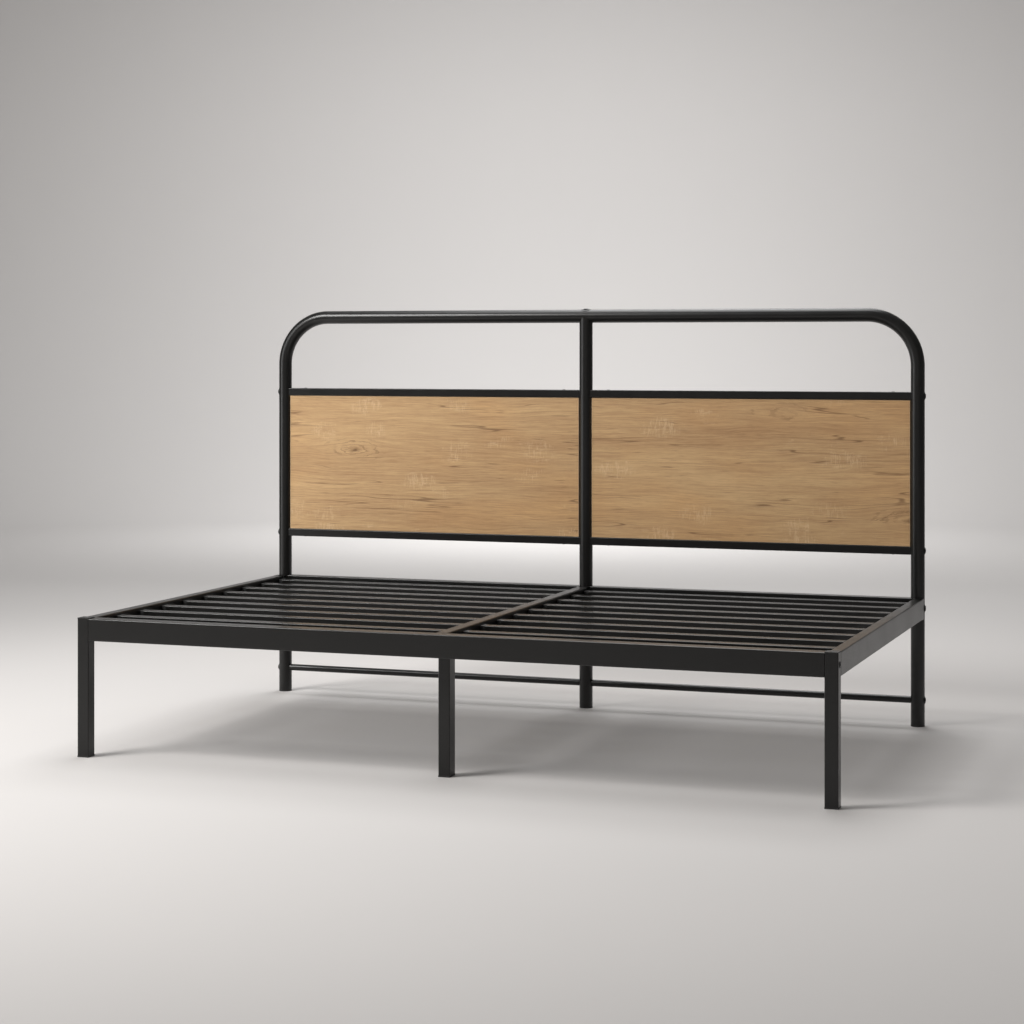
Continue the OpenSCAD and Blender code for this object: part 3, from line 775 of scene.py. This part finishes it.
def black_oxide(looks):
    """Black oxide on turned steel, with faint patches and a fine tooth."""
    made = Finish("black_oxide")
    tooth = made.noise(900.0, 2.0, 0.6)
    patches = made.noise(60.0, 3.0)
    made.set(
        Base_Color=made.blend(patches, looks.bolts, lighter(looks.bolts, 1.9)),
        Roughness=made.mid(tooth, 0.30, 0.44),
        Metallic=0.6,
    )
    made.bump(tooth, 0.00003)
    return made.material


def zinc_plate(looks):
    """Bright zinc on the hidden threaded inserts."""
    made = Finish("zinc_plate")
    spangle = made.noise(140.0, 4.0, 0.6)
    made.set(
        Base_Color=made.blend(spangle, looks.zinc, lighter(looks.zinc, 1.53)),
        Roughness=made.mid(spangle, 0.28, 0.42),
        Metallic=1.0,
    )
    made.bump(spangle, 0.00004)
    return made.material


def oak_board(looks):
    """Oak laminate: the grain runs along X and bends round knots, with cracks and short saw marks."""
    made = Finish("oak_board")
    tree, times, plus, spread = made.tree, made.times, made.plus, made.spread

    def part_of(socket, index):
        return node(tree, "ShaderNodeSeparateXYZ", {0: socket}, output=index)

    def field(x, z, detail=3.0, roughness=0.6, source=None):
        """A noise with its own scales along the board and up it."""
        return made.noise(1.0, detail, roughness, source=made.stretched(x, 1.0, z, source))

    def centred(value, reach):
        return times(made.maths("SUBTRACT", value, 0.5), reach)

    def cells(x, z):
        cell = tree.nodes.new("ShaderNodeTexVoronoi")
        place = made.stretched(x, 0.0, z)
        tree.links.new(place, cell.inputs["Vector"])
        cell.inputs["Scale"].default_value = 1.0
        return place, cell.outputs

    # the grain lines drift, wiggle and part round each knot
    place, knot = cells(2.3, 7.0)
    ends = {0: place, 1: knot["Position"]}
    from_knot = node(tree, "ShaderNodeVectorMath", ends, operation="SUBTRACT")
    over = part_of(from_knot, 2)
    near = spread(knot["Distance"], 0.0, 0.42, 1.0, 0.0)
    side = made.maths("DIVIDE", over, plus(made.maths("ABSOLUTE", over), 0.05))
    drift = centred(field(1.5, 5.0, 2.0, 0.5), 0.050)
    wiggle = centred(field(9.0, 22.0, 2.0, 0.5), 0.007)
    bend = times(times(near, side), -0.016)
    high = plus(part_of(made.place, 2), plus(drift, plus(wiggle, bend)))
    grain = node(tree, "ShaderNodeCombineXYZ", {"X": part_of(made.place, 0), "Y": 0.0, "Z": high})

    # bands, streaks, fibres and pores follow the grain
    bands = field(0.9, 11.0, 2.0, source=grain)
    streaks = field(3.6, 105.0, 4.0, 0.70, grain)
    fine = field(9.0, 330.0, 3.0, 0.72, grain)
    pores = spread(field(34.0, 1000.0, 2.0, source=grain), 0.50, 0.72)
    tone = plus(times(bands, 0.30), plus(times(streaks, 0.29), times(fine, 0.41)))
    tone = spread(tone, 0.39, 0.66, smooth_step=False)

    # cracks follow a contour of the grain, and slits are short
    contour = made.maths("ABSOLUTE", centred(field(1.1, 30.0, 2.0, 0.5, grain), 1.0))
    where = spread(field(4.0, 15.0), 0.45, 0.58)
    cracks = times(spread(contour, 0.001, 0.009, 1.0, 0.0), where)
    worn = spread(field(1.6, 12.0), 0.40, 0.64, 0.15, 1.0)
    slits = spread(field(9.0, 190.0, source=grain), 0.60, 0.70)

    # each knot has a dark core and broken rings
    ragged = plus(knot["Distance"], centred(field(26.0, 90.0), 0.15))
    core = spread(ragged, 0.012, 0.075, 1.0, 0.0)
    rings = spread(made.maths("SINE", times(ragged, 85.0)), 0.45, 1.0)
    swirl = times(times(rings, where), spread(ragged, 0.16, 0.32, 1.0, 0.0))

    # saw marks stand in small ragged patches
    _, patch = cells(7.8, 15.0)
    chosen = spread(part_of(patch["Color"], 0), 0.46, 0.66)
    torn = centred(field(30.0, 60.0, roughness=0.65), 0.75)
    inside = spread(plus(patch["Distance"], torn), 0.24, 0.56, 1.0, 0.0)
    upright = spread(field(270.0, 40.0, roughness=0.7), 0.50, 0.62)
    level = spread(field(36.0, 280.0, roughness=0.7), 0.54, 0.66)
    marks = times(times(chosen, inside), made.maths("MAXIMUM", upright, level))

    light, crack = looks.oak_light, looks.oak_crack
    ruddy = [light[0], light[1] * 0.93, light[2] * 0.86]
    pale = [light[0] * 1.28, light[1] * 1.42, light[2] * 1.75]
    board = made.blend(spread(field(2.5, 6.0, 2.0, 0.5), 0.40, 0.66), light, ruddy)
    board = made.blend(tone, board, looks.oak_dark)
    layers = ((pores, 0.20), (cracks, 0.62), (times(slits, worn), 0.46), (swirl, 0.42), (core, 0.70))
    for share, strength in layers:
        board = made.blend(times(share, strength), board, crack)
    made.set(
        Base_Color=made.blend(times(marks, 0.34), board, pale),
        Roughness=made.mid(fine, 0.50, 0.64),
        Specular_IOR_Level=0.35,
    )
    depth = plus(plus(cracks, slits), plus(core, pores))
    made.bump(made.maths("SUBTRACT", plus(streaks, marks), depth), 0.00016)
    return made.material


def edge_band(looks):
    """The paler band glued round the boards' edges."""
    made = Finish("edge_band")
    fibre = made.noise(1.0, 3.0, 0.6, source=made.stretched(6.0, 40.0, 240.0))
    made.set(
        Base_Color=made.blend(fibre, looks.oak_band, lighter(looks.oak_band, 0.80)),
        Roughness=made.mid(fibre, 0.45, 0.58),
    )
    made.bump(fibre, 0.00006)
    return made.material


FIBRE_GREY, NET_BLACK = (0.3, 0.3, 0.3), (0.02, 0.02, 0.02)
PAINTED_FALLOFF_START, PAINTED_FALLOFF_END = 1.9, 3.6  # where the painted falloff of light on the paper starts and ends, out from the middle


def studio_paper(studio):
    """Seamless background paper with a faint fibre, and painted shade: a deeper tone away from the bed, as
    a falloff of light.
    """
    made = Finish("studio_paper")
    fibre = made.noise(3.0, 5.0, 0.6)
    reach = node(made.tree, "ShaderNodeVectorMath", {0: made.place}, output=1, operation="LENGTH")
    # painted shade: the paper turns darker away from the bed, as a falloff of light
    away = made.spread(reach, PAINTED_FALLOFF_START, PAINTED_FALLOFF_END)
    tone = made.blend(away, studio.paper, studio.paper_painted_falloff)
    made.set(
        Base_Color=made.blend(made.times(fibre, 0.03), tone, FIBRE_GREY),
        Roughness=0.92,
        Specular_IOR_Level=0.15,
    )
    return made.material


def scrim_net(passes):
    """A net that lets the given share of light through."""
    material = bpy.data.materials.new("scrim_net")
    material.use_nodes = True
    tree = material.node_tree
    clear = node(tree, "ShaderNodeBsdfTransparent")
    cloth = node(tree, "ShaderNodeBsdfDiffuse", {"Color": (*NET_BLACK, 1.0)})
    mixed = tree.nodes.new("ShaderNodeMixShader")
    mixed.inputs[0].default_value = passes
    tree.links.new(cloth, mixed.inputs[1])
    tree.links.new(clear, mixed.inputs[2])
    tree.links.new(mixed.outputs[0], tree.nodes["Material Output"].inputs["Surface"])
    return material


FINISHES = {}


def finish_named(make):
    """Makes each finish once, from the current colours."""
    if make.__name__ not in FINISHES:
        FINISHES[make.__name__] = make(bpy.context.scene.bed_finish)
    return FINISHES[make.__name__]


# ---- operators ----

class Undoable:
    bl_options = {"REGISTER", "UNDO"}


WHITE, WARM, AIR = (1.0, 1.0, 1.0), (1.0, 0.985, 0.965), (1.0, 0.985, 0.97, 1.0)
# name, place, target, width, height (0 is a disk), the power's property, colour
LIGHTS = (
    ("key_light", (-2.5, -2.5, 3.3), (-0.2, 0.0, 0.3), 1.7, 0.0, "key_power", WARM),
    ("side_light", (-3.3, -1.5, 1.3), (0.0, 0.0, 0.9), 1.3, 2.3, "side_power", WHITE),
    ("top_light", (-0.4, 0.6, 4.2), (0.0, 0.1, 0.0), 2.6, 0.0, "top_power", WHITE),
    ("wall_light", (-1.85, 5.6, 2.8), (-2.75, 8.8, 0.5), 1.4, 0.0, "wall_power", WHITE),
    ("room_light", (1.6, -6.6, 3.2), (2.6, -9.8, 1.6), 2.0, 0.0, "room_power", WHITE),
    ("far_light", (-0.6, 3.8, 4.7), (-1.0, 3.8, 0.0), 3.2, 0.0, "far_power", WHITE),
)
COVE_STEPS, ROOM_STEPS, ROOM_DOUBLES = 24, 96, 1e-4
CAMERA_REACH = 100.0
SCRIM_PASSES, SCRIM_GAP, SCRIM_INSET = 0.54, 0.001, 0.05


class BED_OT_studio(Undoable, bpy.types.Operator):
    """Make the round studio, the soft lights and the camera"""

    bl_idname = "bed.studio"
    bl_label = "Studio"

    def execute(self, context):
        scene = context.scene
        studio = scene.bed_studio
        self.round_room(studio)
        self.shade_scrim()
        self.lights(scene, studio)
        lens = bpy.data.cameras.new("camera")
        lens.lens = studio.camera_lens
        lens.shift_y = studio.camera_drop
        lens.clip_end = CAMERA_REACH
        camera = bpy.data.objects.new("camera", lens)
        scene.collection.objects.link(camera)
        camera.location = studio.camera_place
        camera.rotation_euler = (QUARTER, 0.0, studio.camera_turn)
        scene.camera = camera
        scene.view_settings.view_transform = "Standard"
        return {"FINISHED"}

    def round_room(self, studio):
        cove = studio.cove_radius
        outline = [(0.0, 0.0), (studio.floor_radius, 0.0)]
        for step in range(1, COVE_STEPS + 1):
            angle = QUARTER * step / COVE_STEPS
            x = studio.floor_radius + cove * math.sin(angle)
            outline.append((x, cove * (1 - math.cos(angle))))
        outline.append((studio.floor_radius + cove, studio.wall_height))
        shape = bmesh.new()
        chain = [shape.verts.new((x, 0.0, z)) for x, z in outline]
        edges = [shape.edges.new(pair) for pair in zip(chain, chain[1:])]
        bmesh.ops.spin(
            shape, geom=chain + edges, axis=Z_AXIS, cent=(0, 0, 0), steps=ROOM_STEPS, angle=math.tau,
            use_duplicate=False,
        )
        bmesh.ops.remove_doubles(shape, verts=shape.verts, dist=ROOM_DOUBLES)
        bmesh.ops.recalc_face_normals(shape, faces=shape.faces)
        room = add_object("studio_room", mesh_from("studio_room", shape))
        shade_smooth(room.data)
        room.data.materials.append(studio_paper(studio))

    def shade_scrim(self):
        """A scrim at the slats' undersides that only dims light: it evens the floor's shadow."""
        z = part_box("slat_left_1")[0].z - SCRIM_GAP
        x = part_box("slat_right_1")[1].x - SCRIM_INSET
        front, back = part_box("foot_rail")[1].y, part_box("slat_left_9")[1].y
        corners = [(-x, front, z), (x, front, z), (x, back, z), (-x, back, z)]
        mesh = bpy.data.meshes.new("shade_scrim")
        mesh.from_pydata(corners, [], [(0, 1, 2, 3)])
        scrim = add_object("shade_scrim", mesh)
        scrim.visible_camera = False
        scrim.data.materials.append(scrim_net(SCRIM_PASSES))

    def lights(self, scene, studio):
        for name, place, target, width, height, energy, tint in LIGHTS:
            lamp = bpy.data.lights.new(name, "AREA")
            lamp.shape = "RECTANGLE" if height else "DISK"
            lamp.size = width
            if height:
                lamp.size_y = height
            lamp.energy = getattr(studio, energy)
            lamp.color = tint
            holder = bpy.data.objects.new(name, lamp)
            scene.collection.objects.link(holder)
            holder.location = place
            aim = Vector(target) - Vector(place)
            holder.rotation_euler = aim.to_track_quat("-Z", "Y").to_euler()
            holder.visible_camera = False
        world = bpy.data.worlds.new("studio_air")
        world.use_nodes = True
        air = world.node_tree.nodes["Background"]
        air.inputs["Color"].default_value = AIR
        air.inputs["Strength"].default_value = studio.fill
        scene.world = world


END_CLEARANCE = 0.0001  # between the reduced end and the tube around it


class BED_OT_hoop(Undoable, bpy.types.Operator):
    """Bend the two head tubes and cope the centre post between them"""

    bl_idname = "bed.hoop"
    bl_label = "Hoop and centre post"

    def execute(self, context):
        sizes = context.scene.bed_sizes
        paint = finish_named(powder_coat)
        values = {"Radius": POST_R, "Wall": sizes.tube_wall, "Bend": sizes.bend_radius}
        for side in SIDES:
            x = POST_X[side]
            path = [(x, POST_Y, FOOT_Z), (x, POST_Y, TOP_Z), (SEAM_X, POST_Y, TOP_Z)]
            line = line_object("hoop_line", [path])
            tubes = [grow("hoop_" + side, bent_tube_tree, paint, line, **values)]
            if side == "left":
                tubes.append(self.reduced_end(sizes, paint))
            hoop = merged("hoop_tube_" + side, tubes)
            finish(smooth(hoop), [side + "_head_tube"])
        self.centre_post(values, paint)
        return {"FINISHED"}

    def reduced_end(self, sizes, paint):
        """The thinner end of the left tube, inside the right one."""
        path = [(SEAM_X - 3 * sizes.tube_wall, POST_Y, TOP_Z), (SWAGE_END_X, POST_Y, TOP_Z)]
        values = {"Radius": POST_R - sizes.tube_wall - END_CLEARANCE, "Wall": sizes.tube_wall, "Bend": 0.0}
        return grow("hoop_end", bent_tube_tree, paint, line_object("end_line", [path]), **values)

    def centre_post(self, values, paint):
        rod = turned("top_rod", [(POST_R, -2 * POST_R, 0), (POST_R, 2 * POST_R, 0)], CUTTER_SIDES)
        rod.rotation_euler = LAID_X
        rod.location = (0.0, POST_Y, TOP_Z)
        bpy.context.view_layer.update()
        rod.data.transform(rod.matrix_world)
        rod.matrix_world.identity()
        path = [(0.0, POST_Y, FOOT_Z), (0.0, POST_Y, TOP_Z)]
        line = line_object("post_line", [path])
        post = grow("middle_post", bent_tube_tree, paint, line, Cutter=rod, **values)
        drop(rod)
        finish(smooth(post), ["centre_post"])


class BED_OT_cross_members(Undoable, bpy.types.Operator):
    """Cope the bars, head rails and stretchers to the posts"""

    bl_idname = "bed.cross_members"
    bl_label = "Bars, head rails and stretchers"

    def execute(self, context):
        sizes = context.scene.bed_sizes
        paint = finish_named(powder_coat)
        cutter = post_cutter()
        corners = dict.fromkeys(("upper_bar_", "lower_bar_"), sizes.bar_corner)
        corners["head_rail_"] = sizes.rail_corner
        for side in SIDES:
            inner = min(0.0, POST_X[side])
            for kind, corner in corners.items():
                centre, size = middle(kind + side), extent(kind + side)
                bar = grow(
                    "coped_" + kind + side, coped_tube_tree, paint,
                    Length=abs(POST_X[side]), Width=size.z, Height=size.y, Wall=sizes.tube_wall,
                    Corner=corner, Start=(inner, POST_Y, centre.z), Turn=LAID_X, Cutter=cutter,
                )
                finish(smooth(bar), [kind + side])
            level = middle("stretcher_" + side).z
            path = [(0.0, POST_Y, level), (POST_X[side], POST_Y, level)]
            line = line_object("stretcher_line", [path])
            rod = grow(
                "coped_stretcher_" + side, bent_tube_tree, paint, line,
                Radius=extent("stretcher_" + side).z / 2, Wall=sizes.tube_wall, Bend=0.0, Cutter=cutter,
            )
            finish(smooth(rod), ["stretcher_" + side])
        drop(cutter)
        return {"FINISHED"}


class BED_OT_boards(Undoable, bpy.types.Operator):
    """Cut the two wood boards, ease their edges and band them"""

    bl_idname = "bed.boards"
    bl_label = "Wood boards"

    def execute(self, context):
        for side in SIDES:
            low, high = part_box("panel_" + side)
            shape = bmesh.new()
            made = bmesh.ops.create_cube(shape, size=1.0)
            bmesh.ops.scale(shape, vec=high - low, verts=made["verts"])
            bmesh.ops.translate(shape, vec=(low + high) / 2, verts=made["verts"])
            bmesh.ops.bevel(
                shape, geom=shape.edges[:], offset=context.scene.bed_sizes.board_ease, segments=3,
                profile=0.5, affect="EDGES",
            )
            board = add_object("oak_board_" + side, mesh_from("oak_board_" + side, shape))
            board.data.materials.append(finish_named(oak_board))
            board.data.materials.append(finish_named(edge_band))
            for face in board.data.polygons:
                face.material_index = int(abs(face.normal.y) < 0.999)
            finish(smooth(board), ["panel_" + side])
        return {"FINISHED"}


LEDGE_OVERHANG, FOLD_INSIDE, FOLD_STEPS = 0.020, 0.6, 4
WELD_SEED, WELD_START = 3, 0.02
WELD_DROP, WELD_OUT = 0.2, 0.3  # shares of the bead's radius that it stands off the corner


class BED_OT_rails(Undoable, bpy.types.Operator):
    """Draw the foot, side and centre rails, and fold and weld on their slat ledges"""

    bl_idname = "bed.rails"
    bl_label = "Rails and ledges"

    def execute(self, context):
        scene = context.scene
        sizes = scene.bed_sizes
        self.paint = finish_named(powder_coat)
        low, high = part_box("foot_rail")
        rail = self.tube("foot_beam", sizes, (low.x, (low.y + high.y) / 2, (low.z + high.z) / 2),
                         high.x - low.x, high.z - low.z, high.y - low.y, LAID_X)
        finish(smooth(rail), ["foot_rail"])
        for side in SIDES:
            low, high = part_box("side_rail_" + side)
            outer = low.x if side == "left" else high.x
            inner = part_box("corner_bracket_" + side)[0 if side == "left" else 1].x
            self.rail(scene, "side_beam_" + side, "side_rail_" + side, outer, inner, [-SIGN[side]])
        half = extent("rail_bracket_centre").x / 2
        self.rail(scene, "centre_beam", "centre_rail", -half, half, [1, -1])
        return {"FINISHED"}

    def tube(self, name, sizes, start, long, width, height, turn):
        return grow(name, square_tube_tree, self.paint, Length=long, Width=width, Height=height,
                    Wall=sizes.tube_wall, Corner=sizes.rail_corner, Start=start, Turn=turn)

    def rail(self, scene, name, source, x_a, x_b, ledge_ways):
        """A rail along Y between two x faces, with a ledge on the faces that look the given ways."""
        sizes = scene.bed_sizes
        low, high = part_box(source)
        tube = self.tube(name + "_tube", sizes, ((x_a + x_b) / 2, high.y, (low.z + high.z) / 2),
                         high.y - low.y, abs(x_b - x_a), high.z - low.z, LAID_Y)
        parts = [tube]
        beads = []
        for way in ledge_ways:
            face = x_b if (x_b - x_a) * way > 0 else x_a
            tip = high.x if way > 0 else low.x
            parts.append(self.ledge(sizes, face, tip, way, high.y))
            beads += self.stitches(sizes, face, way, high.y)
        parts.append(grow(name + "_welds", weld_tree, self.paint, line_object("weld_lines", beads),
                          Radius=sizes.weld_radius, Ripple=sizes.weld_ripple, Seed=WELD_SEED))
        finish(smooth(merged(name, parts)), [source])

    def ledge_span(self):
        """The ledges' top, and where they start along the rails."""
        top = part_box("slat_left_1")[0].z
        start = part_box("slat_left_1")[0].y - LEDGE_OVERHANG
        return top, start

    def ledge(self, sizes, face, tip, way, end):
        top, start = self.ledge_span()
        plate, fold = sizes.ledge_plate, sizes.ledge_fold
        drop_to = top - abs(tip - face)
        outline = [(face, drop_to), (face, top), (tip, top), (tip, top - plate)]
        inner = fold * FOLD_INSIDE
        for step in range(FOLD_STEPS + 1):
            angle = QUARTER * step / FOLD_STEPS
            outline.append((face + way * (plate + inner - inner * math.sin(angle)),
                            top - plate - inner + inner * math.cos(angle)))
        outline.append((face + way * plate, drop_to))
        part = extruded("ledge", outline, start, end)
        part.data.materials.append(self.paint)
        return part

    def stitches(self, sizes, face, way, end):
        """Short welds along the ledge's lower edge."""
        top, start = self.ledge_span()
        depth = extent("side_rail_left").x - extent("rail_bracket_left").x
        z = top - depth - sizes.weld_radius * WELD_DROP
        x = face + way * sizes.weld_radius * WELD_OUT
        lines, y = [], start + WELD_START
        while y + sizes.weld_stitch < end:
            lines.append([(x, y, z), (x, y + sizes.weld_stitch, z)])
            y += sizes.weld_gap
        return lines


class BED_OT_legs(Undoable, bpy.types.Operator):
    """Draw the three front legs"""

    bl_idname = "bed.legs"
    bl_label = "Front legs"

    def execute(self, context):
        sizes = context.scene.bed_sizes
        for name in (*SIDES, "centre"):
            low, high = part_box("front_leg_" + name)
            leg = grow(
                "leg_tube_" + name, square_tube_tree, finish_named(powder_coat),
                Length=high.z - low.z, Width=high.x - low.x, Height=high.y - low.y,
                Wall=sizes.tube_wall, Corner=sizes.rail_corner,
                Start=((low.x + high.x) / 2, (low.y + high.y) / 2, low.z), Turn=UPRIGHT,
            )
            finish(smooth(leg), ["front_leg_" + name])
        return {"FINISHED"}


class BED_OT_slats(Undoable, bpy.types.Operator):
    """Lay both banks of slats and plug their ends"""

    bl_idname = "bed.slats"
    bl_label = "Slats and end blocks"

    def execute(self, context):
        sizes = context.scene.bed_sizes
        pitch = middle("slat_left_2").y - middle("slat_left_1").y
        for side in SIDES:
            low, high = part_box(f"slat_{side}_1")
            bank = grow(
                "slat_bank_" + side, slat_bank_tree, finish_named(powder_coat),
                Length=high.x - low.x, Width=high.z - low.z, Height=high.y - low.y,
                Wall=sizes.tube_wall, Corner=sizes.bar_corner, Turn=LAID_X, Count=SLAT_COUNT,
                Start=(low.x, (low.y + high.y) / 2, (low.z + high.z) / 2), Pitch=pitch,
            )
            finish(smooth(bank), [f"slat_{side}_{i + 1}" for i in range(SLAT_COUNT)])
        plastic = finish_named(moulded_plastic)
        blocks = softened("slat_end_blocks", "slat_end_caps", sizes.cast_ease, plastic, 2)
        finish(blocks, ["slat_end_caps"])
        return {"FINISHED"}


PLATE_EASE_SHARE = 0.75  # of the castings' rounding


class BED_OT_caps_and_plates(Undoable, bpy.types.Operator):
    """Round the edges of the caps, brackets and angles"""

    bl_idname = "bed.caps_and_plates"
    bl_label = "Caps, brackets and angles"

    def execute(self, context):
        ease = context.scene.bed_sizes.cast_ease
        for source in ("post_foot_caps", "leg_foot_caps", "leg_top_caps"):
            cap = softened("moulded_" + source, source, ease, finish_named(moulded_plastic))
            finish(cap, [source])
        plates = ["rail_bracket_left", "rail_bracket_right", "rail_bracket_centre",
                  "corner_bracket_left", "corner_bracket_right", "centre_leg_angle",
                  "centre_rail_angles"]
        for source in plates:
            paint = finish_named(powder_coat)
            plate = softened("pressed_" + source, source, ease * PLATE_EASE_SHARE, paint)
            finish(plate, [source])
        return {"FINISHED"}


TOP_SEAT = ((0.0, POST_Y, TOP_Z), Z_AXIS, X_AXIS)
LONG_BOLT, SHORT_BOLT, SOCKET_WIDTH = 3.3, 2.9, 0.7  # shares of a post's radius, and of the shank
LEG_BOLT_BACK, LEG_BOLT_PAST = 0.002, 0.024
HOLE_CLEARANCE, SMALL_EASE = 0.0005, 0.0003


class BED_OT_fasteners(Undoable, bpy.types.Operator):
    """Set every bolt, washer, nut, stud and screw"""

    bl_idname = "bed.fasteners"
    bl_label = "Fasteners"

    def execute(self, context):
        self.sizes = context.scene.bed_sizes
        self.steel = finish_named(black_oxide)
        self.frame_bolts()
        self.washers()
        for source in ("saddle_nuts", "bracket_nuts", "centre_studs", "bracket_bolts", "panel_screws"):
            plain = softened("set_" + source, source, SMALL_EASE, self.steel, 2)
            finish(plain, [source])
        return {"FINISHED"}

    def seats(self):
        """Where the washers' posts are met: (point on the tube's axis, facing, tube's direction)."""
        half = self.sizes.rail_bolt_pitch / 2
        levels = [RAIL_MID_Z - half, RAIL_MID_Z + half]
        seats = [
            ((POST_X[side], POST_Y, z), (SIGN[side], 0.0, 0.0), Z_AXIS)
            for side in SIDES for z in CROSS_LEVELS
        ]
        seats += [
            ((x, POST_Y, z), Y_AXIS, Z_AXIS)
            for x in (POST_X["left"], 0.0, POST_X["right"]) for z in levels
        ]
        return seats

    def frame_bolts(self):
        sizes = self.sizes
        out = POST_R + sizes.washer_plate
        heads = []
        for place, facing, along in [*self.seats(), TOP_SEAT]:
            seat = Vector(place) + Vector(facing) * out
            long = LONG_BOLT if facing != Y_AXIS else SHORT_BOLT
            heads.append((seat, facing, along, long * POST_R))
        for side in SIDES:
            low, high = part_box("front_leg_" + side)
            face = low.x if side == "left" else high.x
            seat = (face, (low.y + high.y) / 2 + LEG_BOLT_BACK, RAIL_MID_Z)
            heads.append((seat, (SIGN[side], 0.0, 0.0), Z_AXIS, high.x - low.x + LEG_BOLT_PAST))
        dome = domed_head("dome", sizes.bolt_head, sizes.bolt_rise, sizes.bolt_shank * SOCKET_WIDTH)
        rod = shank("rod", sizes.bolt_shank)
        parts = [
            scattered("heads", dome, [(p, f, a, 1.0) for p, f, a, _ in heads], self.steel),
            scattered("shanks", rod, heads, self.steel),
        ]
        drop(dome)
        drop(rod)
        finish(smooth(merged("domed_bolts", parts)), ["frame_bolts"])

    def washers(self):
        sizes = self.sizes
        hole = sizes.bolt_shank + HOLE_CLEARANCE
        small = curved_washer("small_washer", sizes.washer_width, hole)
        large = curved_washer("large_washer", sizes.top_washer_width, hole)
        parts = [
            scattered("post_washers", small, [(*seat, 1.0) for seat in self.seats()], self.steel),
            scattered("top_washer", large, [(*TOP_SEAT, 1.0)], self.steel),
        ]
        drop(small)
        drop(large)
        finish(smooth(merged("saddle_washers", parts)), ["curved_washers"])


class BED_OT_inserts(Undoable, bpy.types.Operator):
    """Plate the threaded inserts that the tubes hide"""

    bl_idname = "bed.inserts"
    bl_label = "Threaded inserts"

    def execute(self, context):
        for source in ("bar_plugs", "rail_plugs", "centre_post_plug"):
            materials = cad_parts[source].data.materials
            materials.clear()
            materials.append(finish_named(zinc_plate))
        return {"FINISHED"}


STEPS = (
    BED_OT_studio, BED_OT_hoop, BED_OT_cross_members, BED_OT_boards, BED_OT_rails, BED_OT_legs,
    BED_OT_slats, BED_OT_caps_and_plates, BED_OT_fasteners, BED_OT_inserts,
)


class BED_PT_steps(bpy.types.Panel):
    """Lists the sizes, the colours and the steps"""

    bl_label = "Bed Frame"
    bl_idname = "BED_PT_steps"
    bl_space_type = "VIEW_3D"
    bl_region_type = "UI"
    bl_category = "Bed Frame"

    def draw(self, context):
        column = self.layout.column()
        for step in STEPS:
            column.operator(step.bl_idname)
        for group in (context.scene.bed_sizes, context.scene.bed_finish, context.scene.bed_studio):
            box = self.layout.box()
            for name in group.__annotations__:
                box.prop(group, name)


GROUPS = {"bed_sizes": BedFrameSizes, "bed_finish": BedFrameFinish, "bed_studio": BedFrameStudio}


def register():
    for group in GROUPS.values():
        bpy.utils.register_class(group)
    for name, group in GROUPS.items():
        setattr(bpy.types.Scene, name, bpy.props.PointerProperty(type=group))
    for step in (*STEPS, BED_PT_steps):
        bpy.utils.register_class(step)


def unregister():
    for step in (BED_PT_steps, *reversed(STEPS)):
        bpy.utils.unregister_class(step)
    for name, group in GROUPS.items():
        delattr(bpy.types.Scene, name)
        bpy.utils.unregister_class(group)


def main():
    register()
    for step in STEPS:
        area, name = step.bl_idname.split(".")
        getattr(getattr(bpy.ops, area), name)()


if __name__ == "__main__":
    main()
